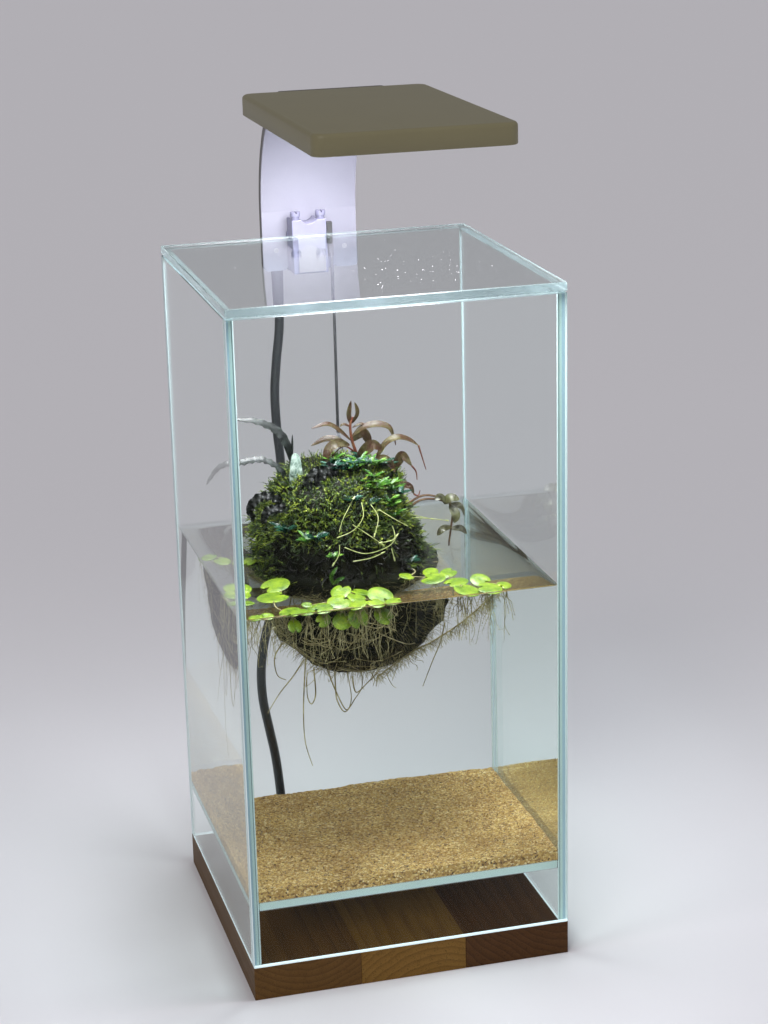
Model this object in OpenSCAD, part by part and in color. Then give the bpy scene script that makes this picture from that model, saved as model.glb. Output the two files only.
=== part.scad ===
// Small rimless aquarium standing on a wooden base, with a raised floor pane, a loose glass
// lid, a planted island that hangs in the water and an LED lamp clamped to the back rim.
// Millimetres, +Z up, front towards -Y, origin at the middle of the base's underside.

/* [Stand] */
// Height of the wooden base
stand_h = 16; // [12:1:30]

/* [Tank] */
// Outer width and depth of the tank
tank_w = 150; // [140:1:180]
// Height from the base to the underside of the lid
tank_h = 300; // [290:1:330]
// Thickness of every glass pane
glass_t = 4; // [3:0.5:6]
// Air gap under the raised floor pane
floor_gap = 27; // [15:1:40]
// Thickness of the silicone in each glued joint
seam_t = 0.3; // [0.2:0.1:0.5]
// Thickness of the clear bumpers under the lid
bumper_t = 0.6; // [0.6:0.1:1.5]

/* [Contents] */
// Depth of the sand
sand_t = 5.8; // [3:0.2:12]
// Depth of the water over the floor pane
water_depth = 134; // [125:1:145]
// Radius of the island at the water line
island_r = 43; // [36:1:46]

/* [Lamp] */
// Width of the lamp head
head_w = 86.4; // [70:0.2:100]
// Length of the lamp head, front to back
head_l = 139; // [120:1:150]
// Thickness of the lamp head
head_h = 9.2; // [9.2:0.1:12]
// Width of the arm
arm_w = 46.8; // [44:0.2:60]
// Thickness of the arm, front plate and back cover together
arm_t = 5; // [5:0.1:6]
// Inner radius of the arm's bend
arm_r = 59.5; // [55:0.1:65]

/* [Cord] */
// Diameter of the lamp's cord
cord_d = 4.5; // [4.2:0.1:4.8]

/* [Hidden] */

eps = 0.01;             // reach of a cutter past the face that it cuts
half = tank_w / 2;
inner = half - glass_t; // from the middle of the tank to an inner glass face

// heights
lid_z = stand_h + tank_h;
rim_z = lid_z - bumper_t;
floor_z = stand_h + floor_gap;
sand_z = floor_z + glass_t;
water_z = sand_z + water_depth;

// the island: a bowl of roots under a mound of moss
island_at = [-9, 6];
bowl_depth = 57;
mound_h = 46;
core_r = island_r - 4;
core_top = water_z + 5;
mound_skirt = 6;        // reach of the moss below the water line

// the clip that carries the lamp on the back rim
clip_x = -2.6;          // middle of the clip, beside the hanger
clip_w = 16.8;
clip_top = lid_z + 11;
clip_bottom = lid_z - 18;
screw_dx = 6.2;         // from the clip's middle to each clamp screw
screw_y = half + 3;
screw_r = 1.95;
screw_bore = 2.0;
pad_r = 1.5;
hook_t = 0.5;
slot_top = rim_z + 0.9;
flange_t = 3;
flange_w = 38;

// the arm: a straight leg and a quarter bend, drawn in the YZ plane
arm_y = half + 11.5;    // front face of the straight leg
bend_z = lid_z + 14;    // where the bend starts
bend_y = arm_y - arm_r;
leg_z = lid_z - 18;     // lower end of the legs
leg_round = 2.5;
notch_w = 23;
leg_w = (arm_w - notch_w) / 2;
notch_top = lid_z + 4;
plate_t = 1.5;          // sheet of the arm's front plate
arm_screw_x = [-9, 9];
arm_screw_y = bend_y - 9;
leg_screw_x = [-17, 17];
leg_screw_z = lid_z - 8;
cover_wall = 1.2;

// the lamp head
head_top = bend_z + arm_r + arm_t + 0.1;
head_z = head_top - head_h;
head_back = bend_y + 2.5;
head_front = head_back - head_l;
head_mid = (head_front + head_back) / 2;
head_r = 5.5;
skin_t = 1.2;
side_t = 1.5;
tongue_l = 18;
tongue_top = bend_z + arm_r + plate_t;
lead_x = -17;           // middle of the two leads
board_t = 1.2;
board_top = bend_z + arm_r - 0.8;
led_h = 0.7;
diffuser_t = 1;
diffuser_gap = 0.2;     // the diffuser sits this far inside the head's lower edge
boss_r = 2.6;

// the cord, its coil and its plug
cord_r = cord_d / 2;
relief_at = [-16.4, arm_y + 3];
relief_r = 3;
relief_l = 18;
coil_at = [0, 125];
coil_mid_r = 25.2;
coil_step = 4.6;
coil_cols = 3;
coil_rows = 2;
coil_low = 3;           // height of the lowest turn's middle
coil_half_w = coil_step * (coil_cols - 1) / 2 + cord_r;
coil_z = coil_low - cord_r;
coil_h = coil_step * (coil_rows - 1) + cord_d;
tie_t = 0.6;
tie_w = 7;
tie_angle = 150;
plug_at = [44, 122, 4];
boot_l = 10;
plug_l = 21;
plug_size = [15.6, 7.8];
shell_size = [12, 4.5];
shell_l = 12;

// The cord's own points, from the strain relief down to the coil on the table
CORD_ROUTE = [
    [-16.4, 89.5, 280], [-17, 89.5, 270], [-19, 89, 256], [-20.6, 88, 240], [-20.4, 87, 222],
    [-19.4, 86, 205], [-20.5, 85, 188], [-25, 84.5, 170], [-32, 84, 152], [-38.5, 84, 134],
    [-42, 84, 116], [-42, 84.5, 99], [-39.4, 85.5, 83], [-36.6, 86.5, 67], [-34.8, 87.5, 50],
    [-33.6, 89, 35], [-31.2, 91, 22], [-26.6, 93, 11.6], [-19.6, 94.6, 5], [-10, 95.2, 3],
    [0, 95.2, 3]
];
// The cord's points from the coil's last turn to the plug
TAIL_ROUTE = [
    [0, 95.2, 7.6], [11, 95.6, 7.6], [20, 97.4, 7], [29, 101, 5.4], [36, 105.6, 4.2],
    [41, 111, 4], [43.4, 116.6, 4], [44, 122, 4]
];

glass = [0.80, 0.93, 0.92, 0.35];
steel = "silver";
black = [0.06, 0.06, 0.07];
champagne = [0.62, 0.60, 0.55];

// ---- helpers ----

function unit(v) = v / norm(v);

// one point of the curve through p[i] and p[i+1], at t from 0 to 1
function spline_point(p, i, t) =
    let (n = len(p) - 1, a = p[max(i - 1, 0)], b = p[i], c = p[i + 1], d = p[min(i + 2, n)])
    0.5 * (2 * b + (c - a) * t + (2 * a - 5 * b + 4 * c - d) * t * t
           + (3 * b - 3 * c + d - a) * t * t * t);

function spline(p, steps) = [
    for (i = [0 : len(p) - 2], k = [0 : steps - 1]) spline_point(p, i, k / steps),
    p[len(p) - 1]
];

// closed skin over rings of n points each, listed ring after ring
module skin(points, n) {
    last = len(points) / n - 1;
    walls = [
        for (i = [0 : last - 1], k = [0 : n - 1])
            let (a = i * n + k, b = i * n + (k + 1) % n) each [[a, a + n, b + n], [a, b + n, b]]
    ];
    start = [for (k = [0 : n - 1]) k];
    end = [for (k = [n - 1 : -1 : 0]) last * n + k];
    polyhedron(points = points, faces = concat([start], [end], walls));
}

// tube of n sides and radius r along the points of path, which never runs along side
module tube(path, r, n, side = [0, 1, 0]) {
    last = len(path) - 1;
    skin([
        for (i = [0 : last])
            let (t = unit(path[min(i + 1, last)] - path[max(i - 1, 0)]),
                 u = unit(cross(side, t)), v = cross(t, u))
            for (k = [0 : n - 1]) path[i] + r * (cos(360 * k / n) * u + sin(360 * k / n) * v)
    ], n);
}

module rounded_rect(w, l, r) {
    square([w - 2 * r, l], center = true);
    square([w, l - 2 * r], center = true);
    for (x = [-1, 1], y = [-1, 1])
        translate([x * (w / 2 - r), y * (l / 2 - r)]) circle(r = r, $fn = 48);
}

// A curved blade: it leaves base towards az at elevation e0 and turns to e1 along its length.
// It starts a little way out, so that the leaves of one whorl stay apart.
module leaf(base, az, length, e0, e1, width, start = 0, thick = 0.9, steps = 6) {
    bend = (e1 - e0) * PI / 180;
    u = [-sin(az), cos(az), 0];
    skin([
        for (j = [0 : steps])
            let (f = j / steps, e = e0 + (e1 - e0) * f,
                 run = start + length * (sin(e) - sin(e0)) / bend,
                 rise = length * (cos(e0) - cos(e)) / bend,
                 middle = base + [run * cos(az), run * sin(az), rise],
                 v = cross([cos(e) * cos(az), cos(e) * sin(az), sin(e)], u),
                 w = width / 2 * (0.15 + 0.85 * sin(180 * pow(f, 0.8))))
            each [middle + w * u, middle + thick / 2 * v, middle - w * u, middle - thick / 2 * v]
    ], 4);
}

// places something on the island, in the island's own polar terms
function on_island(radius, angle, z) =
    [island_at[0] + radius * cos(angle), island_at[1] + radius * sin(angle), z];

// ---- wooden stand ----

module stave(i, tint) {
    w = tank_w / 3;
    color(tint) translate([-half + i * w, -half, 0]) cube([w, tank_w, stand_h]);
}

module stave_left() { stave(0, [0.36, 0.24, 0.15]); }
module stave_middle() { stave(1, [0.52, 0.35, 0.20]); }
module stave_right() { stave(2, [0.33, 0.17, 0.10]); }

// ---- glass ----

module wide_pane(y) {
    color(glass) translate([-half, y, stand_h]) cube([tank_w, glass_t, rim_z - stand_h]);
}

module side_pane(x) {
    color(glass) translate([x, -inner + seam_t, stand_h])
        cube([glass_t, 2 * (inner - seam_t), rim_z - stand_h]);
}

module front_pane() { wide_pane(-half); }
module back_pane() { wide_pane(inner); }
module left_pane() { side_pane(-half); }
module right_pane() { side_pane(inner); }

module floor_pane() {
    size = 2 * (inner - seam_t);
    color(glass) translate([-size / 2, -size / 2, floor_z]) cube([size, size, glass_t]);
}

module silicone_seams() {
    color([0.85, 0.88, 0.88, 0.6]) {
        for (x = [-half, inner], y = [-inner, inner - seam_t])
            translate([x, y, stand_h]) cube([glass_t, seam_t, rim_z - stand_h]);
        translate([0, 0, floor_z]) linear_extrude(glass_t) difference() {
            square(2 * inner, center = true);
            square(2 * (inner - seam_t), center = true);
        }
    }
}

module lid() {
    color(glass) translate([-half, -half, lid_z]) cube([tank_w, tank_w, glass_t]);
}

module lid_bumpers() {
    at = half - 2.2;
    color([0.9, 0.92, 0.92, 0.6]) for (x = [-at, at], y = [-at, at])
        translate([x, y, rim_z]) cylinder(r = 1.8, h = bumper_t, $fn = 32);
}

// ---- contents ----

module sand_bed() {
    color([0.74, 0.62, 0.42]) translate([-inner, -inner, sand_z])
        cube([2 * inner, 2 * inner, sand_t]);
}

// half outline of the root bowl, under a flat top inside the moss
module core_outline() {
    polygon([
        [0, water_z - bowl_depth],
        for (a = [10 : 10 : 90])
            [core_r * sin(a), water_z - bowl_depth * cos(a)],
        [core_r - 2, core_top],
        [0, core_top]
    ]);
}

// half outline of the moss: a dome that overhangs the bowl a little at the water line
module mound_outline() {
    polygon([
        [0, water_z - mound_skirt],
        [core_r, water_z - mound_skirt],
        for (a = [0 : 10 : 80])
            [island_r * cos(a), water_z + mound_h * sin(a)],
        [0, water_z + mound_h]
    ]);
}

module turned() { translate([island_at[0], island_at[1], 0]) rotate_extrude($fn = 64) children(); }

module island_core() { color([0.16, 0.12, 0.08]) turned() core_outline(); }

module moss_mound() {
    color([0.20, 0.30, 0.10]) turned() difference() {
        mound_outline();
        core_outline();
    }
}

module water() {
    bottom = sand_z + sand_t;
    color([0.75, 0.88, 0.90, 0.25]) difference() {
        translate([-inner, -inner, bottom]) cube([2 * inner, 2 * inner, water_z - bottom]);
        turned() core_outline();
        turned() mound_outline();
    }
}

// long, wavy, nearly black leaves that arch to the left
module dark_leaf_plant() {
    root = [-27, 10, water_z + 38];
    color([0.14, 0.13, 0.14]) {
        leaf(root, 172, 42, 75, -25, 5);
        leaf(root + [-3, -3, -4], 180, 43, 50, -55, 5);
        leaf(root + [-1, 4, 0], 200, 20, 85, 70, 8);
        leaf(root + [-5, 6, -8], 190, 22, 30, -60, 8);
        leaf(root + [6, -6, -2], 20, 18, 60, -40, 8);
    }
}

// reddish stems with opposite leaves
module red_stem_plant() {
    root = [4, 12, water_z + 43];
    crown = root + [-4, 0, 18];
    color([0.45, 0.25, 0.17]) {
        tube([root, root + [-3, 0, 10], crown], 0.9, 6);
        leaf(crown + [0, 0, 1.4], 100, 11, 88, 80, 4);
        for (k = [0 : 3])
            leaf(root + [-3, 0, 7 + 2 * k], 5 + 88 * k, 22, 45, -35, 7, start = 2.6);
        for (k = [0 : 3])
            leaf(root + [9, -2, -4], -80 + 75 * k, 18, 30, -30, 7.5, start = 3);
    }
}

// a small stem at the island's right side, standing in the water
module side_stem_plant() {
    root = [43, 10, water_z - 12];
    color([0.42, 0.32, 0.20]) {
        tube([root, root + [1, 0, 12], root + [2, 1, 25]], 0.8, 6);
        for (k = [0 : 4])
            leaf(root + [2, 1, 24], 25 + 72 * k, 10, 30, -40, 5);
    }
}

// glossy dark green rosettes that sit in the moss
module small_rosettes() {
    spots = [[30, -105, 24], [34, -60, 14], [22, -30, 34], [36, 200, 14], [14, -90, 40]];
    color([0.08, 0.24, 0.14]) for (s = spots, k = [0 : 3])
        leaf(on_island(s[0], s[1], water_z + s[2] + 3), s[1] - 120 + 80 * k, 11, 35, -20, 6,
             start = 2.5, steps = 4);
}

// pale strands that creep down over the moss
module runners() {
    color([0.62, 0.60, 0.35]) for (k = [0 : 5]) {
        a = -100 + 22 * k;
        tube([for (j = [0 : 4])
            on_island(25 + 5.5 * j + 1.5 * (k % 2), a + 9 * j, water_z + 44 - 9.5 * j)],
            0.6, 5, [0, 0, 1]);
    }
}

// rafts of small round leaves lying on the water: middle of the raft, leaf count, spread
RAFTS = [[-56, -42, 3, 6], [-64, -64, 4, 6], [-30, -58, 7, 12], [-14, -62, 4, 7],
         [15, -45, 3, 4], [30, -48, 7, 11], [42, -58, 3, 6], [-64, 16, 3, 6], [-63, -18, 3, 6]];
leaf_t = 0.5;
shore = inner - 4.8;    // how near to the glass a floating leaf's middle comes
root_lean = 1.6;

function afloat(v) = max(-shore, min(shore, v));

module floating_leaves() {
    color([0.55, 0.75, 0.18]) for (raft = RAFTS, k = [0 : raft[2] - 1]) {
        reach = raft[3] * sqrt((k + 0.3) / raft[2]);
        translate([afloat(raft[0] + reach * cos(137.5 * k)),
                   afloat(raft[1] + reach * sin(137.5 * k)), water_z + (k % 3) * leaf_t])
            cylinder(r = 3.2 + 0.4 * (k % 4), h = leaf_t, $fn = 24);
    }
}

// fine roots that hang from the rafts
module floating_roots() {
    color([0.70, 0.62, 0.48]) for (i = [0 : len(RAFTS) - 1], k = [0 : 2]) {
        raft = RAFTS[i];
        depth = 26 + 7 * ((i + 2 * k) % 5);
        lean = 60 * i + 110 * k;
        tube([for (j = [0 : 3])
            [raft[0] + (1 + root_lean * j) * cos(lean), raft[1] + (1 + root_lean * j) * sin(lean),
             water_z - leaf_t - depth * j / 3]], 0.4, 5);
    }
}

// ---- hanger of the island ----

band_x = 6.9;
band_w = 1.4;
band_t = 0.4;
band_bend_z = water_z + 41;
band_end = [34, water_z + 20];

module hanger_band() {
    y = inner - 0.1;
    color(steel) translate([band_x - band_w / 2, 0, 0]) rotate([90, 0, 90])
        linear_extrude(band_w) polygon([
            [half + 0.5, rim_z - 8], [half + 0.5, rim_z + band_t], [y - band_t, rim_z + band_t],
            [y - band_t, band_bend_z], [band_end[0] - band_t, band_end[1]],
            [band_end[0], band_end[1]], [y, band_bend_z], [y, rim_z],
            [half + 0.1, rim_z], [half + 0.1, rim_z - 8]
        ]);
}

module hanger_tab() {
    color(black) translate([6.0, half + 0.5, rim_z - 10]) cube([2.8, 1.8, 20]);
}

// ---- lamp head ----

module head_slab(inset, z0, z1) {
    translate([0, head_mid, z0]) linear_extrude(z1 - z0)
        rounded_rect(head_w - 2 * inset, head_l - 2 * inset, head_r - inset);
}

boss_at = [for (x = [-1, 1], y = [-1, 1]) [x * (head_w / 2 - 10), head_mid + y * (head_l / 2 - 24)]];

module lamp_housing() {
    color(champagne) difference() {
        union() {
            difference() {
                head_slab(0, head_z, head_top);
                head_slab(side_t, head_z - eps, head_top - skin_t);
            }
            for (b = boss_at) translate([b[0], b[1], board_top])
                cylinder(r = boss_r, h = head_top - skin_t / 2 - board_top, $fn = 32);
            for (x = arm_screw_x) translate([x, arm_screw_y, tongue_top])
                cylinder(r = 3, h = head_top - skin_t / 2 - tongue_top, $fn = 32);
        }
        for (b = boss_at) translate([b[0], b[1], board_top - eps])
            cylinder(r = 0.95, h = 4, $fn = 24);
        translate([-arm_w / 2 - 0.1, head_back - side_t - 1, tongue_top - plate_t - 0.1])
            cube([arm_w + 0.2, side_t + 2, plate_t + 0.2]);
        translate([lead_x - 4, head_back - side_t - 1, tongue_top])
            cube([8, side_t + 2, 1.6]);
        for (x = arm_screw_x) translate([x, arm_screw_y, tongue_top - eps])
            cylinder(r = 1.6, h = 1.4, $fn = 24);
    }
}

module led_board() {
    color([0.85, 0.86, 0.86]) difference() {
        head_slab(side_t + 1, board_top - board_t, board_top);
        for (b = boss_at) translate([b[0], b[1], board_top - 2 * board_t])
            cylinder(r = 1.1, h = 3 * board_t, $fn = 24);
    }
}

module leds() {
    cols = 5;
    rows = 9;
    pitch = 13;
    color([1.0, 0.95, 0.75]) for (i = [0 : cols - 1], j = [0 : rows - 1])
        translate([(i - (cols - 1) / 2) * pitch - 1.4, head_mid + (j - (rows - 1) / 2) * pitch - 1.75,
                   board_top - board_t - led_h])
            cube([2.8, 3.5, led_h]);
}

module board_screws() {
    color(steel) for (b = boss_at) translate([b[0], b[1], board_top - board_t]) {
        cylinder(r = 0.93, h = board_t + 3.5, $fn = 24);
        translate([0, 0, -led_h]) cylinder(r = 1.9, h = led_h, $fn = 32);
    }
}

module lamp_diffuser() {
    color([0.93, 0.95, 0.98, 0.6])
        head_slab(side_t + 0.2, head_z + diffuser_gap, head_z + diffuser_gap + diffuser_t);
}

// ---- lamp arm ----

// ring sector from the leg (0 degrees) to the top (90), between two radii, in the YZ plane
module bend(r0, r1) {
    difference() {
        intersection() {
            circle(r = r1, $fn = 96);
            square(r1);
        }
        circle(r = r0, $fn = 96);
    }
}

// outline of one layer of the arm, extruded across its width
module arm_layer(from, to, width, z_low, tongue) {
    translate([-width / 2, 0, 0]) rotate([90, 0, 90]) linear_extrude(width) {
        translate([arm_y + from, z_low]) square([to - from, bend_z - z_low]);
        translate([bend_y, bend_z]) bend(arm_r + from, arm_r + to);
        if (tongue > 0)
            translate([bend_y - tongue, bend_z + arm_r + from]) square([tongue, to - from]);
    }
}

// cuts the notch between the legs, and rounds the corners of their lower ends
module leg_cutter() {
    translate([-notch_w / 2, arm_y - 1, leg_z - 1])
        cube([notch_w, arm_t + 2, notch_top - leg_z + 1]);
    for (x = [arm_w / 2 - leg_round, notch_w / 2 + leg_round], m = [0, 1]) mirror([m, 0, 0]) {
        outer = x > (arm_w + notch_w) / 4 ? 1 : -1;
        translate([x, arm_y - 1, leg_z + leg_round]) rotate([-90, 0, 0])
            linear_extrude(arm_t + 2) difference() {
                translate([outer > 0 ? 0 : -leg_round - 1, 0]) square(leg_round + 1);
                circle(r = leg_round, $fn = 32);
            }
    }
}

module lamp_arm() {
    color([0.92, 0.92, 0.95]) difference() {
        arm_layer(0, plate_t, arm_w, leg_z, tongue_l);
        leg_cutter();
        for (x = arm_screw_x) translate([x, arm_screw_y, bend_z + arm_r - 1])
            cylinder(r = 1.6, h = 4, $fn = 24);
        for (x = leg_screw_x) translate([x, arm_y - 1, leg_screw_z]) rotate([-90, 0, 0])
            cylinder(r = 1.3, h = 4, $fn = 24);
    }
}

// hollow back of the arm, which carries the leads up to the head
module arm_cover() {
    color([0.30, 0.29, 0.28]) difference() {
        intersection() {
            arm_layer(plate_t, arm_t, arm_w, leg_z, 0);
            translate([-half, head_back, 0]) cube([tank_w, tank_w, 2 * lid_z]);
        }
        for (x = [-1, 1]) translate([x * (arm_w + notch_w) / 4, 0, 0])
            arm_layer(plate_t - eps, arm_t - cover_wall, leg_w - 2 * cover_wall, leg_z + 3, 0);
        arm_layer(plate_t - eps, arm_t - cover_wall, arm_w - 2 * cover_wall, notch_top + 2, 0);
        leg_cutter();
        for (x = leg_screw_x) translate([x, arm_y - 1, leg_screw_z]) rotate([-90, 0, 0])
            cylinder(r = 1.6, h = 8, $fn = 24);
    }
}

module arm_screws() {
    color(steel) for (x = arm_screw_x) translate([x, arm_screw_y, bend_z + arm_r - 0.7]) {
        cylinder(r = 1.55, h = 3.4, $fn = 24);
        cylinder(r = 2.8, h = 0.7, $fn = 32);
    }
}

// two thin leads from the cord, up inside the arm's cover
module lamp_leads() {
    color("firebrick") for (x = [-2.6, 2.6]) translate([lead_x + x, 0, 0])
        arm_layer(plate_t + 0.2, plate_t + 1.2, 1, leg_z + 3, tongue_l - 10);
}

// ---- clip on the back rim ----

module clip_block() {
    lid_gap = 0.4;      // the lid lifts past the block with this much room
    fit = 0.1;          // play between the block and the arm
    depth = arm_y - fit - half;
    web_h = notch_top - clip_bottom - 2 * fit;
    color([0.85, 0.88, 0.95, 0.5]) difference() {
        union() {
            translate([clip_x - clip_w / 2, half, clip_bottom])
                cube([clip_w, depth, rim_z - lid_gap - clip_bottom]);
            translate([clip_x - clip_w / 2, half + lid_gap, clip_bottom])
                cube([clip_w, depth - lid_gap, clip_top - clip_bottom]);
            translate([-notch_w / 2 + fit, arm_y - 1, clip_bottom])
                cube([notch_w - 2 * fit, arm_t + 2, web_h]);
            translate([-flange_w / 2, arm_y + arm_t + fit, clip_bottom])
                cube([flange_w, flange_t, web_h - 3.8]);
        }
        translate([clip_x, half - 1, clip_top + 2.6]) rotate([-90, 0, 0])
            cylinder(r = 4.6, h = 30, $fn = 48);
        translate([clip_x - clip_w, half - 1, rim_z - fit])
            cube([2 * clip_w, 10, slot_top - rim_z + fit]);
        for (m = [-1, 1]) translate([clip_x + m * screw_dx, screw_y, slot_top - eps])
            cylinder(r = screw_bore, h = clip_top, $fn = 32);
        for (x = leg_screw_x) translate([x, arm_y, leg_screw_z]) rotate([-90, 0, 0])
            cylinder(r = 1.6, h = 12, $fn = 24);
    }
}

// screws that hold the arm's legs to the clip's rear flange
module clip_screws() {
    color(steel) for (x = leg_screw_x) translate([x, arm_y + 0.2, leg_screw_z]) rotate([-90, 0, 0]) {
        cylinder(r = 1.25, h = arm_t + flange_t, $fn = 24);
        translate([0, 0, arm_t + flange_t - 0.1]) cylinder(r = 2.6, h = 1.6, $fn = 32);
    }
}

// bent steel strip: down inside the glass, over the rim, back under the clamp pads
module rim_hook() {
    color(steel) translate([clip_x - 6.6, 0, 0]) rotate([90, 0, 90]) linear_extrude(13.2)
        polygon([
            [inner - 0.1 - hook_t, rim_z - 16], [inner - 0.1, rim_z - 16], [inner - 0.1, rim_z],
            [half + 8, rim_z], [half + 8, rim_z + hook_t], [inner - 0.1 - hook_t, rim_z + hook_t]
        ]);
}

module clamp_pad(side) {
    color(black) translate([clip_x + side * screw_dx, screw_y, rim_z + hook_t])
        cylinder(r = pad_r, h = 1, $fn = 32);
}

// clear thumb screw with a slotted head
module clamp_screw(side) {
    tip = rim_z + hook_t + 1;
    head = clip_top + 1.6;
    color([0.8, 0.84, 0.92, 0.6]) translate([clip_x + side * screw_dx, screw_y, 0]) difference() {
        union() {
            translate([0, 0, tip]) cylinder(r = screw_r, h = head - tip, $fn = 32);
            translate([0, 0, head]) cylinder(r = 2.45, h = 2.3, $fn = 32);
        }
        translate([-0.4, -3, head + 1.5]) cube([0.8, 6, 2]);
    }
}

module clamp_screw_left() { clamp_screw(-1); }
module clamp_screw_right() { clamp_screw(1); }
module clamp_pad_left() { clamp_pad(-1); }
module clamp_pad_right() { clamp_pad(1); }

// ---- cord and plug ----

module cord_relief() {
    color(black) translate([relief_at[0], relief_at[1], leg_z - relief_l])
        cylinder(r1 = cord_r + 0.25, r2 = relief_r, h = relief_l, $fn = 32);
}

module cord() { color(black) tube(spline(CORD_ROUTE, 2), cord_r, 10); }

module cord_tail() { color(black) tube(spline(TAIL_ROUTE, 2), cord_r, 10, [0, 0, 1]); }

module cord_coil() {
    color(black) translate([coil_at[0], coil_at[1], coil_z]) rotate_extrude($fn = 64)
        translate([coil_mid_r - coil_half_w, 0]) square([2 * coil_half_w, coil_h]);
}

module cord_tie() {
    color([0.2, 0.2, 0.2]) translate([coil_at[0], coil_at[1], coil_z + coil_h / 2]) intersection() {
        rotate_extrude($fn = 64) translate([coil_mid_r, 0]) difference() {
            square([2 * (coil_half_w + tie_t), coil_h + 2 * tie_t], center = true);
            square([2 * coil_half_w, coil_h], center = true);
        }
        rotate(tie_angle) translate([0, -tie_w / 2, -coil_h])
            cube([2 * coil_mid_r, tie_w, 2 * coil_h]);
    }
}

module along_plug(y) { translate(plug_at + [0, y, 0]) rotate([-90, 0, 0]) children(); }

module plug_boot() {
    color(black) along_plug(0) cylinder(r1 = cord_r + 0.2, r2 = 3.6, h = boot_l, $fn = 32);
}

module plug_body() {
    color(black) along_plug(boot_l) linear_extrude(plug_l)
        rounded_rect(plug_size[0], plug_size[1], 2);
}

module plug_shell() {
    color(steel) along_plug(boot_l + plug_l) linear_extrude(shell_l) difference() {
        square(shell_size, center = true);
        square([shell_size[0] - 0.6, shell_size[1] - 0.6], center = true);
    }
}

module plug_tongue() {
    color([0.9, 0.9, 0.92]) along_plug(boot_l + plug_l) translate([0, 0.95, 0])
        linear_extrude(shell_l - 0.6) square([shell_size[0] - 1, 1.7], center = true);
}

stave_left();
stave_middle();
stave_right();
front_pane();
back_pane();
left_pane();
right_pane();
floor_pane();
silicone_seams();
lid();
lid_bumpers();
sand_bed();
water();
island_core();
moss_mound();
dark_leaf_plant();
red_stem_plant();
side_stem_plant();
small_rosettes();
runners();
floating_leaves();
floating_roots();
hanger_band();
hanger_tab();
lamp_housing();
led_board();
leds();
board_screws();
lamp_diffuser();
lamp_arm();
arm_cover();
arm_screws();
lamp_leads();
clip_block();
clip_screws();
rim_hook();
clamp_screw_left();
clamp_screw_right();
clamp_pad_left();
clamp_pad_right();
cord_relief();
cord();
cord_coil();
cord_tail();
cord_tie();
plug_boot();
plug_body();
plug_shell();
plug_tongue();
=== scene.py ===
"""Looks for the small aquarium on its wooden base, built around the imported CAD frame."""
from math import cos, dist, exp, hypot, pi, radians, sin, sqrt, tau

import bmesh
import bpy
import numpy as np
from mathutils import Matrix, Vector, noise


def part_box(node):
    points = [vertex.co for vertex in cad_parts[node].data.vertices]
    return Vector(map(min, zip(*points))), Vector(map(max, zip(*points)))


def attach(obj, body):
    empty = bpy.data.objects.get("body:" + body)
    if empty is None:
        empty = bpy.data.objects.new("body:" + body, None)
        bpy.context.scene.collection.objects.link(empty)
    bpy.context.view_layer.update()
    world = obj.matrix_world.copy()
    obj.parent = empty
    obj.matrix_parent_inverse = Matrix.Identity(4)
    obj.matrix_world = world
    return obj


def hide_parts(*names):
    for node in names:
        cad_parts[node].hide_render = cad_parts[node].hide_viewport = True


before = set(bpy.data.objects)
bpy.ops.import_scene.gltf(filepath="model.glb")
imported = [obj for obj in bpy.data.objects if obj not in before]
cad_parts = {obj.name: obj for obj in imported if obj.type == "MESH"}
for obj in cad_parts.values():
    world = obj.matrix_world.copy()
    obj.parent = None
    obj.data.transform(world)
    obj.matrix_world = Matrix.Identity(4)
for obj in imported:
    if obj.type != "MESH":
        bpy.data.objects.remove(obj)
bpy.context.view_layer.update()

MM = 0.001             # places and sizes are in millimetres, and this turns them into metres

# ---- camera ----

CAMERA_AZIMUTH = radians(-14.85)
CAMERA_ELEVATION = radians(17.41)
CAMERA_ROLL = radians(-1.45)
CAMERA_TARGET = Vector((10.9, 0, 201.2)) * MM
CAMERA_DISTANCE = 1.087  # metres
CAMERA_LENS = 81.9
CAMERA_SENSOR = 36     # its width


def make_camera():
    level = cos(CAMERA_ELEVATION)
    back = Vector((sin(CAMERA_AZIMUTH) * level, -cos(CAMERA_AZIMUTH) * level,
                   sin(CAMERA_ELEVATION)))
    right = (-back).cross(Vector((0, 0, 1))).normalized()
    up = back.cross(right)
    c, s = cos(CAMERA_ROLL), sin(CAMERA_ROLL)
    axes = (c * right + s * up, c * up - s * right, back)
    data = bpy.data.cameras.new("camera")
    data.lens = CAMERA_LENS
    data.sensor_width = CAMERA_SENSOR
    data.clip_start = 0.01
    camera = bpy.data.objects.new("camera", data)
    camera.matrix_world = Matrix.Translation(CAMERA_TARGET + back * CAMERA_DISTANCE) @ Matrix(
        [[a[i] for a in axes] for i in range(3)]).to_4x4()
    bpy.context.scene.collection.objects.link(camera)
    bpy.context.scene.camera = camera


# ---- materials ----

MATERIALS = {}         # every material that is made here, by its name
YEAR_WIDTH = 3.1       # of a ring in the wood
BROAD_SHARE = 0.62     # how much a plant's broad patches count against its fine grain


def shade(colour, factor):
    """The colour, made darker or lighter."""
    return tuple(min(1, factor * c) for c in colour)


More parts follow.
